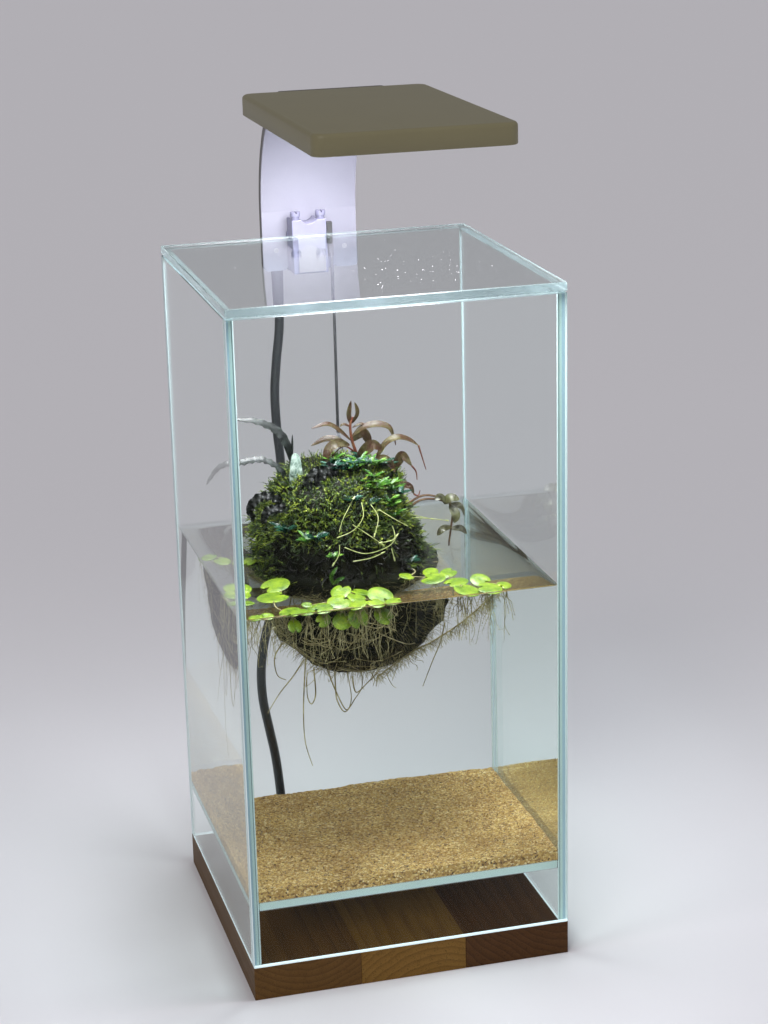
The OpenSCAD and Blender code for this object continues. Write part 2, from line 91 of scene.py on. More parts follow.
class Nodes:
    """A new material's node tree, with short calls for the nodes that the finishes share.

    A value is a number, a colour, or another node's output, which is then linked."""

    def __init__(self, name):
        self.material = MATERIALS[name] = bpy.data.materials.new(name)
        self.material.use_nodes = True
        self.tree = self.material.node_tree
        self.tree.nodes.clear()
        self.out = self.node("OutputMaterial")
        self.place = self.node("TexCoord").outputs["Object"]

    def put(self, socket, value):
        if isinstance(value, bpy.types.NodeSocket):
            self.tree.links.new(value, socket)
        elif isinstance(value, tuple) and len(value) == 3 and socket.type == "RGBA":
            socket.default_value = (*value, 1)
        else:
            socket.default_value = value

    def node(self, kind, settings=None, **values):
        """A shader node with these settings, and these values in its sockets."""
        node = self.tree.nodes.new("ShaderNode" + kind)
        for key, value in (settings or {}).items():
            setattr(node, key, value)
        for key, value in values.items():
            self.put(node.inputs[key.replace("_", " ")], value)
        return node

    def millimetres(self, stretch=(1, 1, 1), shift=(0, 0, 0)):
        """The place in the object, in millimetres, scaled by stretch and then moved by shift."""
        return self.node("Mapping", Vector=self.place, Scale=[s / MM for s in stretch],
                         Location=shift).outputs[0]

    def noise(self, size, detail=3, rough=0.5, vector=None):
        """Noise from 0 to 1 whose lumps are about size millimetres across."""
        return self.node("TexNoise", Vector=vector or self.millimetres(), Scale=1 / size,
                         Detail=detail, Roughness=rough).outputs[0]

    def cells(self, size, feature="F1", vector=None):
        """Cells about size millimetres across."""
        return self.node("TexVoronoi", {"feature": feature}, Scale=1 / size,
                         Vector=vector or self.millimetres()).outputs

    def ramp(self, value, stops):
        """Colours along a value: stops are (position, colour)."""
        node = self.node("ValToRGB", Fac=value)
        keys = node.color_ramp.elements
        while len(keys) < len(stops):
            keys.new(0.5)
        for key, (at, colour) in zip(keys, stops):
            key.position = at
            key.color = (*colour, 1)
        return node.outputs[0]

    def range(self, value, low, high, from_low=0.0, from_high=1.0):
        """Low to high, as the value goes from from_low to from_high."""
        return self.node("MapRange", Value=value, From_Min=from_low, From_Max=from_high,
                         To_Min=low, To_Max=high).outputs[0]

    def maths(self, operation, *values):
        node = self.node("Math", {"operation": operation})
        for socket, value in zip(node.inputs, values):
            self.put(socket, value)
        return node.outputs[0]

    def mix(self, share, a, b, blend="MIX"):
        settings = {"data_type": "RGBA", "blend_type": blend}
        return self.node("Mix", settings, Factor=share, A=a, B=b).outputs["Result"]

    def shaded(self, colour, value, most, factor, low=0.0, high=1.0):
        """The colour, mixed with factor times it, by 0 to most as value goes from low to high."""
        return self.mix(self.range(value, 0, most, low, high), colour, shade(colour, factor))

    def bump(self, height, depth, **normal):
        """A bump of depth millimetres, on top of another bump where Normal gives one."""
        return self.node("Bump", Height=height, Distance=depth * MM, **normal).outputs[0]

    def surface(self, **values):
        """A Principled shader with these values, as the surface."""
        shader = self.node("BsdfPrincipled", **values)
        self.put(self.out.inputs["Surface"], shader.outputs[0])
        return shader

    def let_light_through(self, shader, tint):
        """Shadow and diffuse rays pass the shader straight, so that lamps light what it holds."""
        rays = self.node("LightPath").outputs
        clear = self.node("BsdfTransparent", Color=tint).outputs[0]
        shown = shader.outputs[0]
        for ray in ("Is Diffuse Ray", "Is Shadow Ray"):
            mixer = self.node("MixShader", Fac=rays[ray])
            self.put(mixer.inputs[1], shown)
            self.put(mixer.inputs[2], clear)
            shown = mixer.outputs[0]
        self.put(self.out.inputs["Surface"], shown)


def clear_material(name, tint, ior, absorb=None, roughness=0.0, **more):
    """Glass, water or clear plastic. absorb is (colour, density) of the tint that grows with depth."""
    n = Nodes(name)
    shader = n.surface(Base_Color=tint, Roughness=roughness, IOR=ior,
                       Transmission_Weight=1.0, **more)
    n.let_light_through(shader, tint)
    if absorb:
        volume = n.node("VolumeAbsorption", Color=absorb[0], Density=absorb[1])
        n.put(n.out.inputs["Volume"], volume.outputs[0])


def wood(name, tints, pith):
    """Oiled timber that runs front to back. pith is where the rings' middle lies."""
    n = Nodes(name)
    wander = n.noise(30, 2, vector=n.millimetres((1, 0.12, 1)))
    split = n.node("SeparateXYZ", Vector=n.millimetres(shift=(-pith[0], 0, -pith[1]))).outputs
    across = n.maths("MULTIPLY", split["X"], split["X"])
    high = n.maths("MULTIPLY", split["Z"], split["Z"])
    ring = n.maths("SQRT", n.maths("ADD", across, high))
    ring = n.maths("ADD", ring, n.range(wander, -5, 5))
    year = n.maths("FRACT", n.maths("DIVIDE", ring, YEAR_WIDTH))
    pores = n.noise(0.5, 3, 0.6, n.millimetres((1, 0.03, 1)))
    streak = n.noise(5, 4, 0.55, n.millimetres((1, 0.04, 1)))
    colour = n.ramp(year, [(0.0, tints[0]), (0.55, tints[1]), (0.92, tints[2]), (1.0, tints[0])])
    colour = n.mix(n.range(streak, 0.0, 0.7), colour, tints[2])
    colour = n.mix(n.range(pores, 0.75, 0.0, 0.3, 0.45), colour, shade(tints[2], 0.35))
    n.surface(Base_Color=colour, Roughness=n.range(streak, 0.42, 0.6), Specular_IOR_Level=0.14,
              Normal=n.bump(pores, 0.12, Normal=n.bump(year, 0.03)))


def metal(name, colour, roughness=0.3):
    """Metal with fine brush marks."""
    n = Nodes(name)
    marks = n.noise(0.3, 2, vector=n.millimetres((0.06, 1, 1)))
    n.surface(Base_Color=n.shaded(colour, marks, 0.3, 0.75), Metallic=1.0,
              Roughness=n.range(marks, roughness - 0.06, roughness + 0.1),
              Normal=n.bump(marks, 0.01))


def painted(name, colour, roughness, level=0.5):
    """Fine-textured powder coat. level is how strongly it reflects."""
    n = Nodes(name)
    grit = n.noise(0.25, 3, 0.6)
    tone = n.shaded(colour, n.noise(22, 3), 0.35, 0.88, 0.3, 0.7)
    tone = n.mix(n.range(grit, 0, 0.25, 0.45, 0.75), tone, shade(colour, 1.3))
    n.surface(Base_Color=tone, Roughness=n.range(grit, roughness - 0.06, roughness + 0.1),
              Specular_IOR_Level=level, Normal=n.bump(grit, 0.03))


def rubber(name, colour, roughness=0.5):
    n = Nodes(name)
    wear = n.noise(9, 3)
    n.surface(Base_Color=n.mix(n.range(wear, 0, 0.5), colour, tuple(c + 0.012 for c in colour)),
              Roughness=n.range(wear, roughness - 0.1, roughness + 0.1),
              Normal=n.bump(n.noise(0.5, 3), 0.015))


def plastic(name, colour, roughness=0.35):
    n = Nodes(name)
    cloud = n.noise(6, 2)
    n.surface(Base_Color=n.shaded(colour, cloud, 0.3, 0.85),
              Roughness=n.range(cloud, roughness - 0.05, roughness + 0.08),
              Normal=n.bump(n.noise(0.35, 3, 0.6), 0.02))


def glowing(name, colour, strength):
    Nodes(name).surface(Base_Color=colour, Roughness=0.5, Emission_Color=colour,
                        Emission_Strength=strength)


def sand_material():
    """Quartz grains of many tints, about a millimetre across."""
    n = Nodes("sand")
    grain = n.cells(0.8)
    tint = n.node("SeparateColor", Color=grain["Color"]).outputs
    colour = n.ramp(tint[0], [
        (0.0, (0.07, 0.035, 0.015)), (0.07, (0.27, 0.15, 0.05)), (0.3, (0.47, 0.28, 0.085)),
        (0.6, (0.58, 0.37, 0.11)), (0.86, (0.74, 0.54, 0.21)), (0.96, (0.90, 0.75, 0.42))])
    patch = n.range(n.noise(24, 3), 0, 0.45, 0.35, 0.7)
    n.surface(Base_Color=n.mix(patch, colour, (0.40, 0.27, 0.12), "MULTIPLY"),
              Roughness=n.range(tint[1], 0.35, 0.9), Normal=n.bump(grain["Distance"], -0.5))


def plant(name, tints, patch, fine, roughness, veins=0.0, **more):
    """Living matter: tints from dark to bright, in patches with a fine grain."""
    n = Nodes(name)
    broad = n.noise(patch, 2, 0.6)
    grain = n.noise(fine, 3, 0.65)
    both = n.maths("ADD", n.maths("MULTIPLY", broad, BROAD_SHARE),
                   n.maths("MULTIPLY", grain, 1 - BROAD_SHARE))
    spread = n.range(both, 0, 1, 0.36, 0.64)
    steps = len(tints) - 1
    colour = n.ramp(spread, [(k / steps, tint) for k, tint in enumerate(tints)])
    if veins:
        lines = n.cells(1.6, "DISTANCE_TO_EDGE", n.millimetres((1, 1, 0.5)))["Distance"]
        colour = n.mix(n.range(lines, veins, 0.0, 0.0, 0.09), colour, shade(tints[-1], 1.5))
    n.surface(Base_Color=colour, Roughness=n.range(grain, *roughness),
              Normal=n.bump(grain, 0.15), **more)


def milky(name, colour, clear, roughness):
    """Clear plastic with a painted milky colour, which stands in for the lamp's light scattered in it.
    """
    n = Nodes(name)
    cloud = n.noise(5, 2)
    n.surface(Base_Color=n.shaded(colour, cloud, 0.5, 1.12), Transmission_Weight=clear, IOR=1.49,
              Roughness=n.range(cloud, roughness, roughness + 0.1))


def cut_edge(name, colour, clear, roughness, **more):
    """A ground glass edge: it passes some light and scatters the rest."""
    n = Nodes(name)
    grit = n.noise(0.4, 2)
    n.surface(Base_Color=n.shaded(colour, n.noise(40, 2), 0.4, 0.85, 0.3, 0.7),
              Transmission_Weight=clear, IOR=1.5, Normal=n.bump(grit, 0.01),
              Roughness=n.range(grit, roughness, roughness + 0.15), **more)


# ---- mesh building ----

def add_piece(name, data, body, replaces=()):
    """A new object that rides on a CAD body and may stand for CAD nodes."""
    obj = bpy.data.objects.new(name, data)
    bpy.context.scene.collection.objects.link(obj)
    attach(obj, body)
    if replaces:
        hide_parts(*replaces)
    return obj


class Soup:
    """Many small forms collected into one mesh, in millimetres."""

    def __init__(self):
        self.points = []
        self.faces = []

    def add(self, points, faces):
        base = len(self.points)
        self.points.extend(tuple(p) for p in points)
        self.faces.extend(tuple(base + i for i in face) for face in faces)

    def rings(self, rings):
        """A skin over rings of equally many points, closed at both ends."""
        n = len(rings[0])
        points = [p for ring in rings for p in ring]
        last = (len(rings) - 1) * n
        walls = [(i * n + k, i * n + (k + 1) % n, (i + 1) * n + (k + 1) % n, (i + 1) * n + k)
                 for i in range(len(rings) - 1) for k in range(n)]
        self.add(points, walls + [tuple(range(n))[::-1], tuple(last + k for k in range(n))])

    def tube(self, path, radius, sides=5):
        """A tube along path. radius is a number, or a pair for its start and its end."""
        path = [Vector(p) for p in path]
        first, end = radius if isinstance(radius, tuple) else (radius, radius)
        last = len(path) - 1
        side = None
        rings = []
        for i, point in enumerate(path):
            ahead = (path[min(i + 1, last)] - path[max(i - 1, 0)]).normalized()
            side = side or ahead.orthogonal()
            side = (side - ahead * side.dot(ahead)).normalized()
            other = ahead.cross(side)
            r = first + (end - first) * i / last
            rings.append([point + r * (cos(a) * side + sin(a) * other)
                          for a in (tau * k / sides for k in range(sides))])
        self.rings(rings)

    def make(self, name, material, slot, replaces=(), body="tank", sharp=60):
        """The piece. Edges that turn by more than sharp degrees stay crisp."""
        mesh = bpy.data.meshes.new(name)
        mesh.from_pydata([(x * MM, y * MM, z * MM) for x, y, z in self.points], [], self.faces)
        mesh.update()
        mesh.shade_smooth()
        mesh.set_sharp_from_angle(angle=radians(sharp))
        mesh.materials.append(MATERIALS[material])
        return add_piece(name, mesh, body, replaces)


def lumps(point, size, depth):
    """Smooth random relief: lumps about size across that rise and fall by about depth."""
    return noise.fractal(Vector(point) / size, 1, 2, 3) * depth


def curve_point(points, i, t):
    """Between points i and i + 1, on the same smooth curve that the CAD source uses."""
    last = len(points) - 1
    a, b, c, d = (points[j] for j in (max(i - 1, 0), i, i + 1, min(i + 2, last)))
    return 0.5 * (2 * b + (c - a) * t + (2 * a - 5 * b + 4 * c - d) * t * t
                  + (3 * b - 3 * c + d - a) * t ** 3)


def curve_through(points, steps):
    """A smooth curve through the points, with this many steps between each two."""
    points = [Vector(p) for p in points]
    found = [curve_point(points, i, k / steps) for i in range(len(points) - 1)
             for k in range(steps)]
    return found + [points[-1]]


def soften(node, width, segments=2):
    """Rounds a CAD node's edges that turn by more than 35 degrees, with modifiers."""
    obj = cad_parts[node]
    weld = obj.modifiers.new("weld", "WELD")
    weld.merge_threshold = 1e-6
    bevel = obj.modifiers.new("bevel", "BEVEL")
    bevel.width = width * MM
    bevel.segments = segments
    bevel.limit_method = "ANGLE"
    bevel.angle_limit = radians(35)


def dress(material, *nodes):
    """Gives CAD nodes a material."""
    for node in nodes:
        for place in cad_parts[node].material_slots:
            place.link = "OBJECT"
            place.material = MATERIALS[material]


# ---- the cord, first, because its place is the frame's ----

CORD_D = 4.5
CORD_ROUTE = [
    (-16.4, 89.5, 280), (-17, 89.5, 270), (-19, 89, 256), (-20.6, 88, 240), (-20.4, 87, 222),
    (-19.4, 86, 205), (-20.5, 85, 188), (-25, 84.5, 170), (-32, 84, 152), (-38.5, 84, 134),
    (-42, 84, 116), (-42, 84.5, 99), (-39.4, 85.5, 83), (-36.6, 86.5, 67), (-34.8, 87.5, 50),
    (-33.6, 89, 35), (-31.2, 91, 22), (-26.6, 93, 11.6), (-19.6, 94.6, 5), (-10, 95.2, 3),
    (0, 95.2, 3)]
TAIL_ROUTE = [
    (0, 95.2, 7.6), (11, 95.6, 7.6), (20, 97.4, 7), (29, 101, 5.4), (36, 105.6, 4.2),
    (41, 111, 4), (43.4, 116.6, 4), (44, 122, 4)]
COIL_AT = (0, 125)
COIL_OUTER, COIL_STEP, COIL_LOW = 29.8, 4.6, 3.0   # outer radius, width of a slot, lowest height
COIL_TURNS = [  # each turn's move: its start in degrees, and the slots that it leaves and takes
    (240, (0, 0), (1, 0)), (180, (1, 0), (2, 0)), (120, (2, 0), (2, 1)),
    (70, (2, 1), (1, 1)), (20, (1, 1), (0, 1))]
COIL_MOVE = 42         # degrees that a move takes


def coil_points():
    """Five turns, in two layers of three slots, that shift over one slot in every turn."""
    points = []
    for start, leaves, takes in COIL_TURNS:
        for angle in range(0, 360, 5):
            share = min(max((angle - start) / COIL_MOVE, 0), 1)
            share = share * share * (3 - 2 * share)
            column, row = (a + (b - a) * share for a, b in zip(leaves, takes))
            radius = COIL_OUTER - COIL_STEP * column
            around = radians(angle - 90)
            points.append(Vector((COIL_AT[0] + radius * cos(around),
                                  COIL_AT[1] + radius * sin(around),
                                  COIL_LOW + COIL_STEP * row)))
    return points


def make_cord():
    points = curve_through(CORD_ROUTE, 5)[:-1] + coil_points() + curve_through(TAIL_ROUTE, 5)
    data = bpy.data.curves.new("lamp_cord", "CURVE")
    data.dimensions = "3D"
    data.bevel_depth = CORD_D / 2 * MM
    data.bevel_resolution = 4
    data.use_fill_caps = True
    line = data.splines.new("POLY")
    line.points.add(len(points) - 1)
    for place, point in zip(line.points, points):
        place.co = (*(point * MM), 1)
    line.use_smooth = True
    data.materials.append(MATERIALS["cord_sheath"])
    obj = add_piece("lamp_cord", data, "tank", ["cord", "cord_coil", "cord_tail"])


# ---- glass, water and sand ----

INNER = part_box("right_pane")[0].x / MM  # half the tank's inner width
SAND_LOW, SAND_TOP = (c.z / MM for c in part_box("sand_bed"))
WATER_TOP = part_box("water")[1].z / MM
CHAMFER = 0.5
SOAK = 0.06            # the water reaches this far into the glass, so no air lies between them
GAP = 0.18             # keeps the sand just clear of the glass
MENISCUS = 1.5         # the water climbs the glass by this much
MENISCUS_REACH = 1.3   # and the climb fades over this distance
SAND_GRID = 190        # points along each side of the sand's surface
SAND_DIP = 0.4         # the surface's mean lies this far under the CAD's
GRAIN_DIP = 0.35       # and the loose grains' middles this far
GRAINS = 9000


def wall_steps(edge, fine, coarse, reach):
    """Places from -edge to edge, fine within reach of either end."""
    near = np.arange(0, reach, fine)
    count = max(2, round((2 * edge - 2 * reach) / coarse))
    middle = np.linspace(reach - edge, edge - reach, count)
    return np.concatenate([near - edge, middle, (edge - near)[::-1]])


def block_with_top(xs, heights, bottom):
    """Points and faces of a block whose top is a height field over the square grid of xs."""
    n = len(xs)
    points = [(x, y, heights[i, j]) for i, x in enumerate(xs) for j, y in enumerate(xs)]
    top = [(i * n + j, (i + 1) * n + j, (i + 1) * n + j + 1, i * n + j + 1)
           for i in range(n - 1) for j in range(n - 1)]
    rim = [i * n for i in range(n)] + [(n - 1) * n + j for j in range(1, n)]
    rim += [i * n + n - 1 for i in range(n - 2, -1, -1)] + [j for j in range(n - 2, 0, -1)]
    base = len(points)
    points += [(points[i][0], points[i][1], bottom) for i in rim]
    m = len(rim)
    walls = [(rim[(k + 1) % m], rim[k], base + k, base + (k + 1) % m) for k in range(m)]
    return points, top + walls + [tuple(base + k for k in range(m - 1, -1, -1))]


def make_water():
    edge = INNER + SOAK
    xs = wall_steps(edge, fine=0.35, coarse=6, reach=5)
    away = edge - np.maximum(abs(xs)[:, None], abs(xs)[None, :])
    heights = WATER_TOP + MENISCUS * np.exp(-away / MENISCUS_REACH)
    form = Soup()
    form.add(*block_with_top(xs, heights, SAND_LOW - SOAK))
    water = form.make("water_body", "water", "water", ["water"], sharp=40)
    water.data.materials.append(MATERIALS["water_side"])
    for face in water.data.polygons:
        face.material_index = 0 if face.normal.z > 0.2 else 1


def make_sand():
    edge = INNER - GAP
    rng = np.random.default_rng(seed=4)
    xs = np.linspace(-edge, edge, SAND_GRID)
    heights = np.array([[lumps((x, y, 3), 26, 1.1) + noise.noise(Vector((x, y, 9)) / 1.1) * 0.45
                         for y in xs] for x in xs])
    form = Soup()
    form.add(*block_with_top(xs, SAND_TOP - SAND_DIP + heights, SAND_LOW + GAP))
    form.make("sand_bed_surface", "sand", "sand", ["sand_bed"])
    grains = Soup()
    corners = [(1, 0, 0), (-1, 0, 0), (0, 1, 0), (0, -1, 0), (0, 0, 1), (0, 0, -1)]
    sides = [(0, 2, 4), (2, 1, 4), (1, 3, 4), (3, 0, 4), (2, 0, 5), (1, 2, 5), (3, 1, 5), (0, 3, 5)]
    for x, y in rng.uniform(-edge + 1, edge - 1, (GRAINS, 2)):
        i, j = (round((v + edge) / (2 * edge) * (SAND_GRID - 1)) for v in (x, y))
        size = rng.uniform(0.25, 0.6, 3)
        spin = rng.uniform(0, tau)
        c, s = cos(spin), sin(spin)
        z = SAND_TOP - GRAIN_DIP + heights[i, j]
        grains.add([(x + c * a * size[0] - s * b * size[1], y + s * a * size[0] + c * b * size[1],
                     z + g * size[2] * 0.8) for a, b, g in corners], sides)
    grains.make("sand_grains", "sand", "sand", sharp=80)


# ---- island ----

BOWL_AT = (-8, 6)      # the middle of the root bowl, from above
MOUND_AT = (-11.5, 6)  # the moss leans a little to the left of its roots
MOUND_R = 38.5
MOUND_H = 55
MOUND_FLAT = 43        # the dome levels off at this height
MOUND_SWELL, MOUND_ROUND = 1.9, 0.62   # powers that shape the dome's outline
BOWL_DEPTH = 50
BOWL_R = 43
SOIL_SIDES = 90
FROND_STEM, FROND_LEAVES, FROND_REACH = (0.242, 0.022), 8, 1.1
MOSS_COUNT = 3600
MOSS_ON_TOP = 0.16     # share of the fronds that stand on the flat top
BARE_FOOT = 0.94       # share of the fronds that the bare front foot lacks, whose black is partly painted shade
MOSS = (  # piece, material, range of the fronds' lengths and the CAD nodes that it stands for
    ("moss_undergrowth", "moss_dark", (2.6, 5.2), []),
    ("moss_fronds", "moss_light", (3.0, 6.0), ["moss_mound"]))
FOOT_BITS = 420
FUZZ_COUNT = 1900
ROOT_HAIRS = 16        # at each point of the hairy root
ROOT_LOOPS = 30
BOTTOM_ROOTS = 16
HANGING_ROOTS = (
    [(-33, 4, 142), (-34, 6, 128), (-35, 6, 112), (-34.6, 6, 98), (-31.6, 6, 86)],
    [(-20, 2, 138), (-19.4, 5, 124), (-18.6, 6, 117), (-15, 6, 111), (-10, 6, 117), (-6.4, 6, 123),
     (-7, 4, 134)],
    [(-24, 2, 136), (-20, 5, 124), (-14.6, 6, 112), (-12, 5, 118), (-14, 3, 132)],
    [(34, 4, 150), (32, 6, 140), (28, 6, 131), (23, 6, 119)],
    [(-34, 4, 140), (-39, 6, 132), (-46, 6, 124), (-52, 6, 115)],
    [(-44, 2, 150), (-48, 3, 143), (-47, 4, 134), (-43, 4, 131)],
    [(-30, 2, 136), (-29, 5, 122), (-31, 6, 117), (-33, 5, 122), (-33, 3, 135)],
    [(-12, 0, 130), (-10, 3, 121), (-4, 4, 125), (4, 3, 133)])
HAIRY_ROOT = [(47, -56, 180), (43, -47, 172), (34, -35, 160), (22, -26, 150), (12, -18, 143),
              (-2, -10, 131)]


def island_radius(height):
    """Radius of the moss at a height over the water, or of the root bowl under it."""
    if height >= 0:
        return MOUND_R * (1 - (height / MOUND_H) ** MOUND_SWELL) ** MOUND_ROUND
    return BOWL_R * max(0, 1 - (-height / BOWL_DEPTH) ** 3) ** 0.7


def island_middle(height):
    """The island's axis, which moves over from the bowl's to the mound's near the water."""
    lean = min(max((height + 6) / 12, 0), 1)
    return [low + (high - low) * lean for low, high in zip(BOWL_AT, MOUND_AT)]


def island_point(turn, height):
    """A point of the island's lumpy skin."""
    radius = island_radius(height)
    middle = island_middle(height)
    c, s = cos(turn), sin(turn)
    rough = 5 if height < 0 else 3 + 0.1 * height
    radius += lumps((30 * c, 30 * s, height), 14, rough) * min(1, radius / 14)
    return Vector((middle[0] + radius * c, middle[1] + radius * s, WATER_TOP + height))


def mound_top(x, y):
    """Height of the moss over a place on the water."""
    away = hypot(x - MOUND_AT[0], y - MOUND_AT[1]) / MOUND_R
    if away >= 1:
        return WATER_TOP
    dome = MOUND_H * (1 - away ** (1 / MOUND_ROUND)) ** (1 / MOUND_SWELL)
    return WATER_TOP + min(MOUND_FLAT, dome)


def make_soil():
    """The dark root ball: a lumpy bowl under water that goes on under the moss."""
    form = Soup()
    rings = []
    for height in [0.1 - BOWL_DEPTH, -49, -47, -45, *range(-42, 41, 3), MOUND_FLAT]:
        ring = []
        for k in range(SOIL_SIDES):
            point = island_point(tau * k / SOIL_SIDES, height)
            if height > 0:
                point += (Vector((*island_middle(height), point.z)) - point) * 0.05
            point.z += lumps(point, 3.5, 1.1)
            ring.append(point)
        rings.append(ring)
    form.rings(rings)
    form.make("island_soil", "root_ball", "root_ball", ["island_core"], sharp=80)


def frond(form, start, heading, length, rng):
    """A moss frond: a bent stem with small leaves all round it."""
    bend = Vector(rng.normal(0, 0.55, 3)) - Vector((0, 0, 0.35))

    def stem(t):
        return start + heading * length * t + bend * length * 0.45 * t * t

    form.tube([stem(t) for t in (0, 0.35, 0.7, 1)], FROND_STEM, 3)
    side = heading.orthogonal().normalized()
    for k in range(FROND_LEAVES):
        t = 0.15 + 0.8 * k / FROND_LEAVES
        root = stem(t)
        turn = Matrix.Rotation(rng.uniform(0, tau), 3, heading)
        out = (turn @ side) * FROND_REACH * (1.15 - t) + heading * FROND_REACH * 0.6
        wide = out.cross(heading).normalized() * 0.28
        thick = wide.cross(out).normalized() * 0.14
        form.add([root + wide, root - wide, root + thick, root + out],
                 [(0, 2, 1), (0, 1, 3), (1, 2, 3), (2, 0, 3)])


def is_wet_and_shaded_front(point):
    """The bare black foot of the mound, on the side that faces the camera: its black is partly wet
    soil and partly painted shade and dark reflection where the mound meets the water.
    """
    low = point.z < WATER_TOP + 15 + lumps(point, 9, 6)
    ahead = point.y < MOUND_AT[1] - 10 and -44 < point.x < 22
    return low and ahead


def make_moss():
    rng = np.random.default_rng(seed=11)
    centre = Vector((*MOUND_AT, WATER_TOP + 4))
    for name, material, lengths, replaced in MOSS:
        form = Soup()
        for _ in range(MOSS_COUNT):
            turn = rng.uniform(0, tau)
            height = rng.uniform(-2, MOUND_FLAT)
            if rng.random() < MOSS_ON_TOP:
                away = 24 * sqrt(rng.random())
                x = MOUND_AT[0] + away * cos(turn)
                y = MOUND_AT[1] + away * sin(turn)
                start = Vector((x, y, mound_top(x, y) - 1))
            else:
                start = island_point(turn, height)
            # the front foot is left bare and black, partly as painted shade
            if is_wet_and_shaded_front(start) and rng.random() < BARE_FOOT:
                continue
            out = (start - centre).normalized()
            heading = (out + Vector(rng.normal(0, 0.55, 3))).normalized()
            frond(form, start - out * 1.2, heading, rng.uniform(*lengths), rng)
        form.make(name, material, "moss", replaced, sharp=80)


def make_wet_and_shaded_foot():
    """Black, wet bits of root that stick out of the mound's bare front foot; their black is partly
    painted shade.
    """
    rng = np.random.default_rng(seed=5)
    form = Soup()
    for _ in range(FOOT_BITS):
        turn = radians(rng.uniform(195, 345))
        start = island_point(turn, rng.uniform(-1, 17))
        out = Vector((cos(turn), sin(turn), rng.uniform(-0.6, 0.5)))
        heading = (out * 0.5 + Vector(rng.normal(0, 0.8, 3))).normalized()
        path = [start - out, start + heading * 1.6,
                start + heading * 3 + Vector(rng.normal(0, 1.0, 3))]
        form.tube(path, (0.42, 0.17), 5)
    form.make("mound_foot", "wet_root", "root_ball", sharp=80)


def wander(start, end, rng, sway):
    """A slack line from start to end with a smooth random sway."""
    start, end = Vector(start), Vector(end)
    knots = [start + (end - start) * k / 4 for k in range(5)]
    for k in (1, 2, 3):
        knots[k] += Vector(rng.normal(0, sway, 3))
    return curve_through(knots, 3)


def make_bowl_roots():
    """Fuzz on the root bowl, and the roots that hang from it and loop round it."""
    rng = np.random.default_rng(seed=21)
    fuzz = Soup()
    for _ in range(FUZZ_COUNT):
        turn = rng.uniform(0, tau)
        height = -BOWL_DEPTH * rng.uniform(0.03, 1) ** 0.75
        start = island_point(turn, height)
        inside = Vector((*BOWL_AT, WATER_TOP - 18))
        out = (start - inside).normalized()
        heading = (out + Vector(rng.normal(0, 0.35, 3)) - Vector((0, 0, 0.15))).normalized()
        length = rng.uniform(1.5, 6.5)
        droop = Vector((0, 0, -0.12 * length))
        path = [start - out, start + heading * length * 0.5, start + heading * length + droop]
        fuzz.tube(path, (0.09, 0.04), 3)
    roots = Soup()
    for knots in HANGING_ROOTS:
        roots.tube(curve_through(knots, 6), (0.4, 0.18), 5)
    hairy = curve_through(HAIRY_ROOT, 7)
    roots.tube(hairy, 0.4, 5)
    for point in hairy:
        for _ in range(ROOT_HAIRS):
            out = Vector((rng.normal(0.25, 0.5), rng.normal(-0.2, 0.5), rng.normal(-0.7, 0.4)))
            end = point + out.normalized() * rng.uniform(2, 6)
            fuzz.tube([point, (point + end) / 2 + Vector((0, 0, 0.3)), end], 0.07, 3)
    for _ in range(ROOT_LOOPS):
        turn = radians(rng.uniform(165, 275))
        low = rng.uniform(-42, -12)
        first = island_point(turn, low)
        span = radians(rng.uniform(20, 70))
        second = island_point(turn + span, low + rng.uniform(-14, 14))
        middle = island_point(turn + span / 2, low - rng.uniform(2, 10))
        outer = Vector((cos(turn + span / 2), sin(turn + span / 2), 0))
        knots = [first, middle + outer * rng.uniform(0.8, 3.4), second]
        roots.tube(curve_through(knots, 6), rng.uniform(0.14, 0.28), 4)
    for _ in range(BOTTOM_ROOTS):
        start = island_point(rng.uniform(3.3, 6.1), rng.uniform(-49, -36))
        end = start + Vector((rng.uniform(-9, 9), rng.uniform(-6, 6), -rng.uniform(4, 15)))
        roots.tube(wander(start, end, rng, 1.6), (0.24, 0.12), 4)
    fuzz.make("root_fuzz", "root_fuzz", "root", sharp=80)
    roots.make("island_roots", "root", "root", sharp=80)


# ---- leaves ----

LEAF_THICK = 0.3
DARK_LEAVES = (  # knots, width, the way the upper side faces, then shape, cup, ripple and waves
    ([(-30, 8, 225), (-33, 8, 237), (-38, 8, 244), (-47, 7, 249), (-57, 6, 251)], 4.4,
     (-0.2, -0.6, 0.8), 0.6, 0.06, 0.12, 9),
    ([(-33, 3, 218), (-38, 2, 227), (-46, 2, 232), (-55, 1, 232), (-63, 1, 230), (-69, 0, 223)], 3.8,
     (-0.2, -0.5, 0.85), 0.55, 0.08, 0.17, 13),
    ([(-31, 8, 228), (-30.4, 8, 234), (-30, 8, 241)], 1.2, (0, -1, 0)))
PALE_LEAF = [(-32, -1, 212), (-31.4, -1.5, 220), (-31, -1, 227), (-30.5, 1, 234)]
CURLS = (              # knots of the curled black leaves
    [(-33, -10, 209), (-31, -13, 217), (-28, -14, 225), (-24, -13, 229), (-20, -11, 226)],
    [(-27, -11, 214), (-24, -13, 222), (-20, -13, 228), (-16, -11, 226), (-16, -9, 219)],
    [(-38, -8, 213), (-45, -11, 218), (-51, -11, 218), (-55, -10, 213), (-53, -9, 207)],
    [(-36, -12, 209), (-42, -14, 213), (-48, -14, 212), (-50, -13, 206)],
    [(-26, -8, 215), (-23, -9, 224), (-17, -9, 229), (-13, -7, 223)])
RED_STEM = [(3, 10, 219), (1, 10, 227), (-1.4, 10, 235), (-2, 10, 242), (-0.6, 10, 246)]
RED_NARROW = 0.78      # share of the widths here that the leaves get
